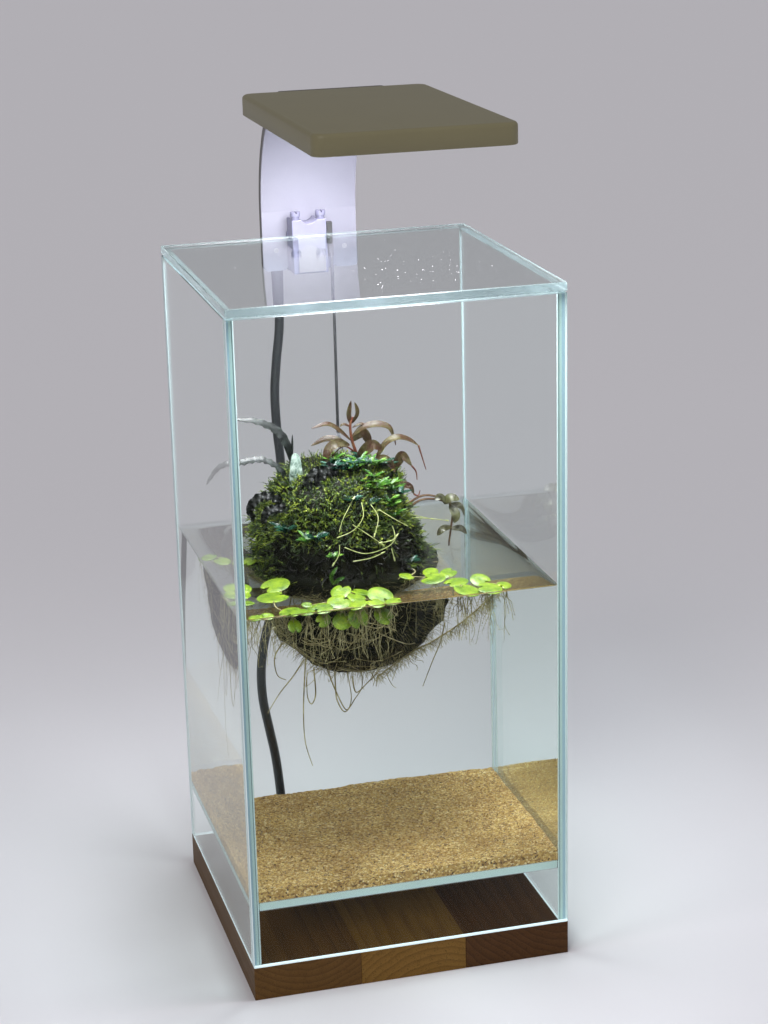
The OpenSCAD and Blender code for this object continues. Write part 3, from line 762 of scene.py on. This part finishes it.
RED_LEAVES = (  # knots, width, and the way the upper side faces
    ([(-2, 10, 235), (-7, 9.6, 240), (-13, 9, 244), (-21, 8, 243)], 4.2, (0.2, -0.5, 0.9)),
    ([(-1, 10, 237), (4, 9, 241), (11, 8, 242), (16, 7, 240), (18, 7, 235)], 5.0, (0, -0.6, 0.8)),
    ([(-2, 12, 232), (-8, 13, 235), (-13, 14, 235.5), (-20, 14, 233)], 5.5, (0, -0.5, 0.9)),
    ([(-3, 9, 233), (-9, 7, 235), (-14, 6, 232), (-16, 5, 224)], 6.0, (-0.4, -0.8, 0.4)),
    ([(-1, 12, 234), (4, 13, 237), (7, 14, 234), (8, 14, 228)], 6.5, (0.2, -0.9, 0.4)),
    ([(0, 7, 226), (3, 4, 231), (7, 2, 234), (11, 1, 231)], 7.0, (-0.3, -0.9, 0.4)),
    ([(9, 6, 226), (13, 5, 233), (19, 4, 236), (25, 4, 234), (29, 4, 231)], 4.8, (0.1, -0.5, 0.85)),
    ([(14, 4, 216), (18, 3, 224), (21, 3, 227), (25, 2, 222)], 6.5, (0.3, -0.9, 0.3)),
    ([(14, 4, 210), (19, 3, 213), (24, 3, 212), (26, 3, 208)], 4.6, (0.1, -0.7, 0.7)),
    ([(4, 2, 222), (9, 0, 227), (13, -1, 226), (16, -2, 221)], 6.0, (0, -0.8, 0.5)),
    ([(-2, 10, 243), (-2.6, 9.6, 248), (-1.4, 9.4, 254)], 3.0, (0, -1, 0)),
    ([(-1, 10, 243), (1.4, 9.6, 248), (0.4, 9.6, 253)], 3.2, (0.5, -0.9, 0)),
    ([(-1.4, 10, 241), (-5, 10, 243), (-7, 10, 242)], 1.8, (0, -0.6, 0.8)),
    ([(-1, 10, 241), (3, 10, 242.5), (5.4, 10, 241.5)], 1.8, (0, -0.6, 0.8)))
RED_STALKS = (
    [(0, 10, 229), (-6, 8, 233), (-12, 7, 229)], [(2, 9, 224), (8, 6, 226), (14, 4, 217)],
    [(29, 4, 231), (30.4, 4, 226), (32.4, 4, 219)], [(25, 2, 222), (27, 2, 219), (27.4, 2, 215)],
    [(26, 3, 208), (28, 3, 207), (29, 3, 209.5)], [(3, 10, 221), (9, 7, 228), (10, 6, 227)],
    [(18, 7, 235), (18.6, 7, 233), (18.8, 7, 231.4)])
SIDE_STEMS = (
    [(24, 10, 198), (31, 11, 202), (39, 12, 201.6), (45, 12, 199)],
    [(24, 12, 200), (33, 13, 203.6), (41, 13, 202), (47, 13, 198.5)],
    [(46, 12, 199), (47.4, 12, 194), (46.6, 12, 187), (45.6, 12, 180), (45, 11, 172)])
SIDE_LEAVES = (
    ([(43, 12, 199), (46, 10, 202), (50, 9, 201)], 4.6, (0, -0.7, 0.7)),
    ([(45, 12, 199), (41, 10, 203), (38, 9, 202)], 3.6, (0, -0.7, 0.7)),
    ([(46, 12, 198), (51, 11, 197), (53, 11, 192)], 3.6, (0.6, -0.6, 0.4)),
    ([(46, 12, 198), (48, 9, 194), (47, 8, 190)], 4.4, (0, -1, 0.2)),
    ([(46.6, 12, 187), (42, 10, 187), (39, 10, 184)], 3.4, (0, -0.7, 0.7)),
    ([(46.6, 12, 186), (51, 11, 186), (54, 11, 183)], 3.4, (0, -0.7, 0.7)))
BRIGHT_ROSETTES = (  # place, number of leaves and their length
    ((3, -17, 218), 10, 7.5), ((-33, -27, 200), 9, 5.5), ((9, -19, 210), 8, 5.5),
    ((-22, -33, 193), 7, 4.0))
TEAL_ROSETTES = (
    ((-9, 3, 224), 12, 6.5), ((-3, -23, 213), 9, 5.5), ((-41, -19, 203), 9, 6.5),
    ((-29, -30, 201), 9, 6.0))
SMALL_ROSETTES = 24
SPROUT = ([(-24, -37, 182), (-25, -39, 187), (-22, -39, 191)],
          [(-24, -37, 182), (-22, -40, 185), (-19, -40, 186)])
RUNNERS = (
    [(-19, -32, 205), (-17, -31, 210), (-13, -28, 215), (-10, -25, 218)],
    [(-7, -27, 216), (-8, -33, 211), (-13, -35, 206), (-20, -34, 203)],
    [(0, -30, 213), (6, -33, 209), (12, -33, 205)], [(5, -35, 206), (5, -38, 201), (-2, -39, 200)],
    [(-18, -37, 199), (-9, -40, 196), (2, -39, 198), (7, -36, 202)],
    [(-15, -40, 193), (-7, -41, 194), (-1, -41, 196)], [(3, -40, 197), (4, -41, 192)],
    [(-20, -36, 200), (-21, -38, 196), (-24, -39, 192)],
    [(-13, -33, 208), (-6, -36, 203), (0, -37, 198)], [(-3, -28, 215), (-1, -33, 210), (-4, -37, 203)],
    [(22, -4, 199), (31, -2, 197), (38, 0, 195), (42, 2, 193.5)],
    [(18, -10, 203), (26, -7, 200), (33, -4, 197)])


def leaf(form, knots, width, up, shape=0.75, cup=0.12, ripple=0.0, waves=6, steps=7, across=4):
    """A leaf along knots. A low shape is blunt. cup lifts its edges and ripple waves them, as
    shares of its width. It has steps between two knots, and across on either side."""
    path = curve_through(knots, steps)
    last = len(path) - 1
    up = Vector(up)
    rings = []
    for i, point in enumerate(path):
        t = i / last
        ahead = (path[min(i + 1, last)] - path[max(i - 1, 0)]).normalized()
        side = ahead.cross(up).normalized()
        lift = side.cross(ahead)
        half = 0.5 * width * max(0.06, sin(pi * min(1, 0.04 + 0.96 * t)) ** shape)
        top = []
        for k in range(-across, across + 1):
            u = k / across
            wave = ripple * width * sin(tau * waves * t + (1.3 if u > 0 else 0)) * u * u
            rise = cup * width * abs(u) ** 1.5 + wave
            top.append(point + side * half * u + lift * rise * (half * 2 / width))
        under = [p - lift * LEAF_THICK * (1 - 0.6 * abs(k / across))
                 for k, p in zip(range(-across, across + 1), top)]
        rings.append(top + under[::-1])
    form.rings(rings)


def make_dark_leaves():
    dark, black, pale = Soup(), Soup(), Soup()
    for numbers in DARK_LEAVES:
        leaf(dark, *numbers)
    for knots in CURLS:
        leaf(black, knots, 4.2, (0, -0.8, 0.6), 0.35, 0.10, 0.34, 8, steps=9)
    leaf(pale, PALE_LEAF, 6.4, (0.15, -1, 0.1), 0.42, 0.05, 0.03, 5)
    dark.make("dark_leaves", "dark_leaf", "dark_leaf", ["dark_leaf_plant"])
    black.make("black_leaves", "black_leaf", "dark_leaf")
    pale.make("pale_leaf", "pale_leaf", "dark_leaf")


def make_red_plant():
    stems, blades = Soup(), Soup()
    stems.tube(curve_through(RED_STEM, 5), (0.85, 0.55), 7)
    for knots, width, up in RED_LEAVES:
        leaf(blades, knots, RED_NARROW * width, up, 0.85, 0.10, 0.02, 3)
    blades.make("red_leaves", "red_leaf", "red_leaf", ["red_stem_plant"])
    for knots in RED_STALKS:
        stems.tube(curve_through(knots, 5), (0.5, 0.2), 5)
    stems.make("red_stems", "red_stem", "red_leaf")


def make_side_plant():
    stems, blades = Soup(), Soup()
    for knots in SIDE_STEMS:
        stems.tube(curve_through(knots, 5), (0.62, 0.42), 5)
    stems.make("side_stems", "side_stem", "red_leaf")
    for knots, width, up in SIDE_LEAVES:
        leaf(blades, knots, width, up, 0.8, 0.1, 0.02, 3)
    blades.make("side_leaves", "side_leaf", "green_leaf", ["side_stem_plant"])


def rosette(form, at, count, length, width, rng):
    """Pointed leaves that fan out from one place."""
    at = Vector(at)
    for k in range(count):
        turn = tau * (k + rng.uniform(-0.3, 0.3)) / count
        out = Vector((cos(turn), sin(turn) * 0.8 - 0.25, 0.15)).normalized()
        rise = Vector((0, 0, rng.uniform(0.3, 1.0)))
        reach = length * rng.uniform(0.75, 1.1)
        leaf(form, [at - out * 0.5, at + (out + rise) * reach * 0.5,
                    at + (out * 1.1 + rise * 0.6) * reach], width, (0, -0.3, 1), 0.8, 0.08,
             steps=4, across=3)


def make_rosettes():
    rng = np.random.default_rng(seed=8)
    bright, teal = Soup(), Soup()
    for at, count, length in BRIGHT_ROSETTES:
        rosette(bright, at, count, length, 1.8, rng)
    for at, count, length in TEAL_ROSETTES:
        rosette(teal, at, count, length, 2.1, rng)
    for k in range(SMALL_ROSETTES):
        x, y = rng.uniform(-16, 17), rng.uniform(-26, 9)
        form, width = (teal, 2.0) if k % 2 else (bright, 1.5)
        rosette(form, (x, y, mound_top(x, y) + 2.5), 6, rng.uniform(4.5, 7), width, rng)
    for knots in SPROUT:
        leaf(bright, knots, 1.8, (0, -1, 0.3))
    bright.make("bright_rosettes", "bright_leaf", "green_leaf", ["small_rosettes"])
    teal.make("teal_rosettes", "teal_leaf", "green_leaf")


def make_runners():
    """Thin pale stems that creep over the moss, each with a bud at its tip."""
    form = Soup()
    for knots in RUNNERS:
        form.tube(curve_through(knots, 6), (0.22, 0.16), 5)
        tip = Vector(knots[-1])
        back = (Vector(knots[-2]) - tip).normalized()
        form.tube([tip + back * 1.1, tip, tip - back * 0.7], (0.44, 0.24), 6)
    form.make("runner_stems", "runner", "runner", ["runners"])


# ---- floating plants ----

FLOATING = [  # place on the water, size and the heading of the notch in degrees
    (-49, -30, 13, 200), (-53, -43, 14, 20), (-50, -66, 11, 250), (-66, -68, 7, 90),
    (-61, -70, 6, 180), (-23, -48, 10, 60), (-14, -51, 10, 150), (-27, -61, 11, 30),
    (-8, -60, 12, 290), (-12, -69, 8, 120), (-36, -68, 10, 210), (-43, -69, 8, 80),
    (15, -21, 9, 180), (11, -36, 7, 10), (21, -44, 11, 140), (23, -33, 8, 260),
    (30, -38, 8, 30), (30, -50, 11, 200), (31, -63, 12, 110), (40, -55, 9, 320),
    (41, -68, 11, 160), (-66, 20, 8, 40), (-61, 12, 8, 130), (-53, 8, 9, 230),
    (-64, -28, 10, 270), (-70, -36, 9, 60), (-69, -47, 8, 10), (-41, -59, 5, 0),
    (-18, -57, 9, 100), (-4, -66, 8, 350), (-20, -69, 9, 60), (49, -62, 7, 220)]
SUNKEN = [  # leaves pushed under at the front: place, depth, size, and lean in radians
    (-27, -64, 6, 9, 1.0), (-20, -65, 5, 10, 1.2), (-8, -63, 6, 9, 0.9), (-36, -66, 4, 7, 1.1),
    (-49, -67, 5, 7, 0.8)]
LEAF_RINGS = (  # share of the leaf's radius and level: over the top to the rim, and back below
    (0.0, -0.12), (0.45, 0.1), (0.8, 0.06), (1.0, -0.3), (0.97, -0.55), (0.5, -0.35), (0.0, -0.5))
LEAF_SIDES = 26
NOTCH_DEPTH, NOTCH_WIDTH = 0.6, 0.24   # as a share of the radius, and in radians
RUNNER_REACH = 26      # neighbours that lie nearer than this share a runner


def float_leaf(form, place, size, heading, tilt):
    """A round leaf with a notch, a shallow dome and a turned-down rim. tilt is in radians."""
    stand = (Matrix.Rotation(tilt[0], 3, "X") @ Matrix.Rotation(tilt[1], 3, "Y")
             @ Matrix.Rotation(radians(heading), 3, "Z"))
    rings = []
    for share, level in LEAF_RINGS:
        ring = []
        for k in range(LEAF_SIDES):
            angle = tau * k / LEAF_SIDES
            off_notch = min(angle, tau - angle) / NOTCH_WIDTH
            cut = NOTCH_DEPTH * share * exp(-off_notch ** 2)
            radius = size / 2 * max(share, 0.02) * (1 - cut)
            flat = Vector((radius * cos(angle) * 1.08, radius * sin(angle) * 0.92, level))
            ring.append(Vector(place) + stand @ flat)
        rings.append(ring[::-1])
    form.rings(rings)


def make_floating():
    rng = np.random.default_rng(seed=14)
    leaves, roots = Soup(), Soup()
    for x, y, size, heading in FLOATING:
        limit = INNER - size / 2 - 0.8
        x, y = (min(max(v, -limit), limit) for v in (x, y))
        tilt = (rng.normal(0.11, 0.12), rng.normal(0, 0.12))
        lift = 0.45 + size / 2 * 0.8 * max(abs(t) for t in tilt)
        float_leaf(leaves, (x, y, WATER_TOP + lift), size, heading, tilt)
        for _ in range(5 if size < 9 else 11):
            reach = rng.uniform(6, 28)
            end = (x + rng.normal(0, 3.5), y + rng.normal(1.5, 2.5), WATER_TOP - reach)
            end = tuple(min(max(v, -INNER + 1), INNER - 1) for v in end[:2]) + (end[2],)
            start = (x + rng.normal(0, 0.8), y + rng.normal(0, 0.8), WATER_TOP)
            path = wander(start, end, rng, 0.7)
            roots.tube(path, (0.2, 0.1), 3)
            for point in path[2:]:
                out = Vector(rng.normal(0, 1, 3)).normalized() * rng.uniform(0.8, 2.2)
                roots.tube([point, point + out], (0.07, 0.05), 3)
    for x, y, depth, size, lean in SUNKEN:
        float_leaf(leaves, (x, y, WATER_TOP - depth), size, rng.uniform(0, 360), (lean, 0.2))
    for first, second in zip(FLOATING, FLOATING[1:]):
        if dist(first[:2], second[:2]) > RUNNER_REACH:
            continue
        a, b = (Vector((*place[:2], WATER_TOP + 0.2)) for place in (first, second))
        middle = (a + b) / 2 + Vector((rng.normal(0, 2), rng.normal(0, 2), 0.2))
        roots.tube(curve_through([a, middle, b], 5), 0.28, 5)
    leaves.make("floating_pads", "floating_leaf", "floating_leaf", ["floating_leaves"], sharp=50)
    roots.make("floating_root_hairs", "root_fuzz", "root", ["floating_roots"], sharp=80)


# ---- panes ----

EDGE_BANDS = (  # share of the thickness from the outer face, and the look of a glued edge there; the pale bands are painted light that stands in for lamp light carried inside the glass
    (0.45, "glass_edge"), (0.74, "glass_pale"), (0.84, "glass_line"), (1.0, "glass_pale"))
SQUARE = 0.99          # least part of its normal along one axis that makes a face square to it
TALL = 0.1             # metres, and a pane taller than this stands


def make_pane(node, body="tank", bands=EDGE_BANDS):
    """A polished pane whose cut edges are banded, partly with painted light, and whose chamfers are
    frosted.
    """
    low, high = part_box(node)
    size, middle = high - low, (high + low) / 2
    form = bmesh.new()
    bmesh.ops.create_cube(form, size=1)
    bmesh.ops.scale(form, vec=size, verts=form.verts)
    bmesh.ops.translate(form, vec=middle, verts=form.verts)
    bmesh.ops.bevel(form, geom=form.edges[:], offset=CHAMFER * MM, segments=1,
                    affect="EDGES", offset_type="WIDTH")
    thin = min(range(3), key=lambda axis: size[axis])
    across = Vector([1.0 if axis == thin else 0.0 for axis in range(3)])
    outward = 1 if middle[thin] > 0 else -1
    outer = middle[thin] + outward * size[thin] / 2
    for share, _ in bands[:-1]:
        place = across * (outer - outward * share * size[thin])
        bmesh.ops.bisect_plane(form, geom=form.verts[:] + form.edges[:] + form.faces[:],
                               plane_co=place, plane_no=across)
    if node == "lid":
        keys = ["lid_glass", "lid_chamfer", "glass_foot_painted_glow", "lid_edge"]
    else:
        keys = ["glass", "glass_chamfer", "glass_foot_painted_glow", "lid_edge"]
    keys += sorted({key for _, key in bands} - {"lid_edge"})
    standing = size.z > TALL
    for face in form.faces:
        face.normal_update()
        depth = (outer - face.calc_center_median()[thin]) * outward / size[thin]
        if abs(face.normal[thin]) > SQUARE:
            look = keys[0]
        # a standing pane's bottom face takes the painted glow
        elif standing and face.normal.z < -0.5:
            look = "glass_foot_painted_glow"
        elif standing and face.normal.z > 0.5:
            look = "lid_edge"
        elif max(abs(c) for c in face.normal) < SQUARE:
            look = keys[1]
        else:
            look = next(key for share, key in bands if depth < share)
        face.material_index = keys.index(look)
    mesh = bpy.data.meshes.new(node + "_glass")
    form.to_mesh(mesh)
    form.free()
    for key in keys:
        mesh.materials.append(MATERIALS[key])
    add_piece(node + "_glass", mesh, body, [node])


# ---- lamp head ----

HEAD_CORNER = 5.5      # radius of its corners, from above
HEAD_SOFT = 1.9        # rounding of the head's upper edge
HEAD_SKIN = 1.2        # thickness of the shell's top
HEAD_SIDE = 1.5        # and of its sides
DUST_SPECKS = 90


def rounded_outline(width, depth, corner, middle, z):
    """A rounded rectangle, level, anticlockwise from above."""
    points = []
    for k, (sx, sy) in enumerate(((1, -1), (1, 1), (-1, 1), (-1, -1))):
        for step in range(9):
            angle = radians(90 * (k - 1) + 11.25 * step)
            points.append((middle[0] + sx * (width / 2 - corner) + corner * cos(angle),
                           middle[1] + sy * (depth / 2 - corner) + corner * sin(angle), z))
    return points


def make_head():
    """The lamp's housing: a thin shell, open below, with a soft upper edge."""
    low, high = (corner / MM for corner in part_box("lamp_housing"))
    width, depth, _ = high - low
    middle = (low + high) / 2
    profile = [(HEAD_SIDE, high.z - HEAD_SKIN), (HEAD_SIDE, low.z + 0.2), (HEAD_SIDE - 0.2, low.z),
               (0.3, low.z), (0, low.z + 0.3), (0, high.z - HEAD_SOFT)]
    profile += [(HEAD_SOFT * (1 - cos(a)), high.z - HEAD_SOFT * (1 - sin(a)))
                for a in (radians(15 * k) for k in range(1, 7))]
    form = Soup()
    form.rings([rounded_outline(width - 2 * inset, depth - 2 * inset, HEAD_CORNER - inset, middle, z)
                for inset, z in profile])
    form.make("lamp_shell", "head_paint", "head_shell", ["lamp_housing"], sharp=50)


def make_dust():
    """Specks of dust and dried drops on the lid."""
    rng = np.random.default_rng(seed=3)
    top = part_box("lid")[1].z / MM
    form = Soup()
    for _ in range(DUST_SPECKS):
        x, y = rng.normal(20, 32), rng.normal(-24, 28)
        if max(abs(x), abs(y)) > INNER - 3:
            continue
        size = rng.uniform(0.10, 0.28)
        ring = [(x + size * cos(a), y + size * sin(a))
                for a in (tau * k / 6 for k in range(6))]
        form.rings([[(px, py, top - 0.02) for px, py in ring],
                    [((px + x) / 2, (py + y) / 2, top + 0.05) for px, py in ring]])
    form.make("lid_dust", "dust", "glass", body="lid", sharp=40)


# ---- studio ----

FLOOR_REACH = 20       # metres from the object to the floor's edges
LAMP_WATTS = 1.1


def make_stage():
    """A pale floor that runs on behind the object, whichever side it is seen from."""
    Nodes("studio").surface(Base_Color=(0.73, 0.72, 0.75), Roughness=0.8)
    mesh = bpy.data.meshes.new("studio")
    mesh.from_pydata([(x * FLOOR_REACH, y * FLOOR_REACH, 0)
                      for x, y in ((-1, -1), (1, -1), (1, 1), (-1, 1))], [], [(0, 1, 2, 3)])
    mesh.materials.append(MATERIALS["studio"])
    floor = bpy.data.objects.new("studio", mesh)
    bpy.context.scene.collection.objects.link(floor)


def add_light(kind, name, strength, colour):
    data = bpy.data.lights.new(name, kind)
    data.energy = strength
    data.color = colour
    obj = bpy.data.objects.new(name, data)
    bpy.context.scene.collection.objects.link(obj)
    return obj


def soft_sun(name, place, strength, angle, colour):
    """Even light from the side of place. angle, in degrees, sets how soft its shadows are."""
    obj = add_light("SUN", name, strength, colour)
    obj.data.angle = radians(angle)
    obj.rotation_euler = (-Vector(place)).to_track_quat("-Z", "Y").to_euler()
    obj.visible_glossy = name == "key"  # so that only the key can glare in the panes


def make_lights():
    world = bpy.data.worlds.new("studio")
    world.use_nodes = True
    world.node_tree.nodes["Background"].inputs["Color"].default_value = (0.80, 0.79, 0.84, 1)
    world.node_tree.nodes["Background"].inputs["Strength"].default_value = 0.35
    bpy.context.scene.world = world
    soft_sun("key", (-1.0, -1.4, 1.25), 1.18, 28, (1, 0.97, 0.94))
    soft_sun("fill", (1.6, -0.6, 0.8), 0.48, 35, (0.93, 0.93, 1))
    soft_sun("back", (0.5, 0.9, 1.8), 0.2, 35, (1, 1, 1))
    low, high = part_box("lamp_diffuser")
    middle = (low + high) / 2
    lamp = add_light("AREA", "lamp", LAMP_WATTS, (0.97, 0.95, 1))
    lamp.location = (middle.x, middle.y, low.z - 0.001)
    lamp.data.shape = "RECTANGLE"
    lamp.data.size = high.x - low.x - 0.01
    lamp.data.size_y = high.y - low.y - 0.01


def render_settings():
    """Enough bounces for rays through four panes and the water, and plain colours."""
    scene = bpy.context.scene
    scene.cycles.use_denoising = True
    scene.cycles.max_bounces = 24
    scene.cycles.transmission_bounces = 20
    scene.cycles.transparent_max_bounces = 24
    scene.cycles.glossy_bounces = 8
    scene.cycles.caustics_reflective = False
    scene.cycles.caustics_refractive = False
    scene.cycles.sample_clamp_indirect = 6
    scene.view_settings.view_transform = "Standard"


# ---- everything in place ----

GLASS_TINT = ((0.25, 0.86, 0.82), 5)   # colour and density of what the depth of the glass takes
WATER_TINT = ((0.7, 0.8, 0.7), 0.5)
FAINT = (0.08, 0.08, 0.08)             # keeps the pale floor's mirror image from veiling the tank


def make_clear_materials():
    clear_material("glass", (0.985, 1, 0.995), 1.5, GLASS_TINT, Specular_Tint=FAINT)
    clear_material("lid_glass", (0.985, 1, 0.995), 1.5, GLASS_TINT)
    # The cut edges' pale blue and pale green colours are partly painted light: they stand in for lamp
    # light carried inside the glass, which is not traced.
    cut_edge("glass_edge", (0.54, 0.69, 0.78), 0.2, 0.25)
    # The panes' bottom edges get a painted glow: emission that stands in for lamp light carried along
    # inside the glass.
    cut_edge("glass_foot_painted_glow", (0.8, 0.93, 0.95), 0.1, 0.3,
             Emission_Color=(0.8, 0.93, 1, 1), Emission_Strength=0.45)
    cut_edge("glass_pale", (0.74, 0.88, 0.84), 0.15, 0.3)
    cut_edge("glass_line", (0.22, 0.30, 0.31), 0.2, 0.3)
    cut_edge("glass_chamfer", (0.86, 0.97, 0.97), 0.1, 0.35)
    cut_edge("lid_edge", (0.38, 0.50, 0.51), 0.75, 0.12)
    cut_edge("lid_chamfer", (0.33, 0.43, 0.43), 0.65, 0.2)
    clear_material("water", (0.99, 1, 0.99), 1.333, WATER_TINT)
    clear_material("water_side", (0.99, 1, 0.99), 1.333, WATER_TINT, Specular_Tint=FAINT)
    # The clip's clear plastic gets a painted milky lilac colour that stands in for the lamp's light in
    # it.
    milky("clear_plastic", (0.30, 0.30, 0.43), 0.35, 0.2)
    clear_material("silicone", (0.93, 0.96, 0.96), 1.41, roughness=0.25)
    clear_material("diffuser", (0.96, 0.97, 1), 1.5, roughness=0.3)


def make_living_materials():
    plant("root_ball", [(0.002, 0.0025, 0.001), (0.005, 0.006, 0.002), (0.02, 0.02, 0.006)],
          6, 0.9, (0.4, 0.8), Specular_IOR_Level=0.12)
    plant("wet_root", [(0.002, 0.002, 0.001), (0.008, 0.008, 0.004)],
          6, 0.9, (0.08, 0.3), Specular_IOR_Level=0.6)
    plant("moss_dark", [(0.004, 0.010, 0.003), (0.016, 0.034, 0.006), (0.05, 0.085, 0.012)],
          5, 1.2, (0.35, 0.7))
    plant("moss_light", [(0.012, 0.03, 0.006), (0.06, 0.11, 0.012), (0.18, 0.25, 0.015),
                         (0.46, 0.53, 0.07)], 4, 1.0, (0.25, 0.55))
    plant("root_fuzz", [(0.11, 0.09, 0.03), (0.31, 0.27, 0.11), (0.58, 0.53, 0.29)],
          6, 1.0, (0.4, 0.7))
    plant("root", [(0.12, 0.095, 0.03), (0.36, 0.30, 0.12), (0.66, 0.60, 0.34)],
          7, 1.2, (0.3, 0.55))
    plant("dark_leaf", [(0.003, 0.004, 0.004), (0.008, 0.011, 0.009), (0.04, 0.05, 0.045)],
          3.5, 0.5, (0.2, 0.4), Coat_Weight=0.5, Coat_Roughness=0.15)
    plant("black_leaf", [(0.002, 0.002, 0.002), (0.005, 0.006, 0.005), (0.014, 0.016, 0.014)],
          2.5, 0.5, (0.2, 0.5), Specular_IOR_Level=0.22)
    plant("pale_leaf", [(0.10, 0.16, 0.13), (0.24, 0.32, 0.27), (0.42, 0.50, 0.44)],
          3, 0.5, (0.2, 0.4), veins=0.5)
    plant("red_leaf", [(0.03, 0.008, 0.005), (0.045, 0.022, 0.010), (0.05, 0.042, 0.014),
                       (0.12, 0.10, 0.05)], 4.5, 0.6, (0.25, 0.45), veins=0.2,
          Coat_Weight=0.15, Coat_Roughness=0.12, Specular_IOR_Level=0.25)
    plant("red_stem", [(0.06, 0.014, 0.010), (0.14, 0.036, 0.020), (0.20, 0.09, 0.04)],
          5, 0.6, (0.25, 0.45))
    plant("side_stem", [(0.04, 0.02, 0.010), (0.10, 0.05, 0.022), (0.17, 0.11, 0.04)],
          5, 0.6, (0.25, 0.45))
    plant("side_leaf", [(0.02, 0.016, 0.006), (0.045, 0.045, 0.014), (0.10, 0.105, 0.04)],
          4, 0.6, (0.2, 0.4), veins=0.2, Coat_Weight=0.4, Coat_Roughness=0.1)
    plant("bright_leaf", [(0.010, 0.045, 0.006), (0.04, 0.13, 0.012), (0.17, 0.31, 0.04)],
          3, 0.6, (0.15, 0.35))
    plant("teal_leaf", [(0.003, 0.015, 0.009), (0.008, 0.045, 0.026), (0.02, 0.085, 0.05)],
          4, 0.6, (0.1, 0.25), Coat_Weight=0.5, Coat_Roughness=0.1)
    plant("runner", [(0.22, 0.28, 0.07), (0.42, 0.46, 0.16), (0.62, 0.64, 0.32)],
          5, 0.8, (0.25, 0.45))
    plant("floating_leaf", [(0.04, 0.10, 0.006), (0.15, 0.25, 0.010), (0.27, 0.37, 0.016)],
          5, 0.8, (0.25, 0.45), veins=0.2, Coat_Weight=0.1, Coat_Roughness=0.15)


def make_made_materials():
    """Sand, wood, and what the lamp, its clip and its cord are made of."""
    sand_material()
    wood("wood_brown", [(0.125, 0.062, 0.014), (0.108, 0.052, 0.012), (0.075, 0.035, 0.008)],
         (-52, 46))
    wood("wood_golden", [(0.20, 0.107, 0.022), (0.175, 0.092, 0.018), (0.125, 0.062, 0.012)],
         (12, -30))
    wood("wood_red", [(0.080, 0.034, 0.009), (0.068, 0.028, 0.007), (0.047, 0.019, 0.005)],
         (78, 50))
    metal("dark_band", (0.16, 0.16, 0.17), 0.35)
    metal("steel", (0.62, 0.62, 0.63))
    painted("dust", (0.45, 0.45, 0.46), 0.8)
    painted("head_paint", (0.205, 0.185, 0.105), 0.4, level=0.28)
    painted("arm_front_paint", (0.225, 0.225, 0.275), 0.45)
    painted("arm_back_paint", (0.09, 0.085, 0.08), 0.4)
    painted("board_mask", (0.8, 0.82, 0.82), 0.35)
    glowing("led", (1, 0.95, 0.88), 6)
    rubber("black_rubber", (0.015, 0.015, 0.017))
    rubber("cord_sheath", (0.012, 0.012, 0.014), 0.38)
    rubber("lead", (0.35, 0.03, 0.02))
    plastic("plug_plastic", (0.02, 0.02, 0.022))
    plastic("plug_insert", (0.8, 0.8, 0.82))


KEPT_NODES = {  # the CAD nodes that stay in sight, by their material
    "wood_brown": ["stave_left"],
    "wood_golden": ["stave_middle"],
    "wood_red": ["stave_right"],
    "silicone": ["silicone_seams", "lid_bumpers"],
    "dark_band": ["hanger_band"],
    "steel": ["rim_hook", "board_screws", "arm_screws", "clip_screws", "plug_shell"],
    "arm_front_paint": ["lamp_arm"],
    "arm_back_paint": ["arm_cover"],
    "board_mask": ["led_board"],
    "led": ["leds"],
    "diffuser": ["lamp_diffuser"],
    "clear_plastic": ["clip_block", "clamp_screw_left", "clamp_screw_right"],
    "black_rubber": ["hanger_tab", "clamp_pad_left", "clamp_pad_right", "cord_relief", "cord_tie"],
    "lead": ["lamp_leads"],
    "plug_plastic": ["plug_boot", "plug_body"],
    "plug_insert": ["plug_tongue"]}
SOFT_EDGES = {  # how far their edges are rounded
    "stave_left": 0.35, "stave_middle": 0.35, "stave_right": 0.35, "lamp_arm": 0.3, "arm_cover": 0.6,
    "clip_block": 0.3, "clamp_screw_left": 0.25, "clamp_screw_right": 0.25, "hanger_tab": 0.4}


def dress_nodes():
    for material, nodes in KEPT_NODES.items():
        dress(material, *nodes)
    for node, width in SOFT_EDGES.items():
        soften(node, width)
    soften("plug_body", 0.8, segments=3)


def make_panes():
    for pane in ("front_pane", "back_pane", "left_pane", "right_pane"):
        make_pane(pane)
    make_pane("floor_pane", bands=((1.0, "glass_pale"),))
    make_pane("lid", "lid", ((1.0, "lid_edge"),))


make_camera()
make_clear_materials()
make_living_materials()
make_made_materials()
make_cord()
make_stage()
make_lights()
render_settings()
dress_nodes()
make_panes()
make_head()
make_dust()
make_water()
make_sand()
make_soil()
make_moss()
make_wet_and_shaded_foot()
make_bowl_roots()
make_dark_leaves()
make_red_plant()
make_side_plant()
make_rosettes()
make_runners()
make_floating()
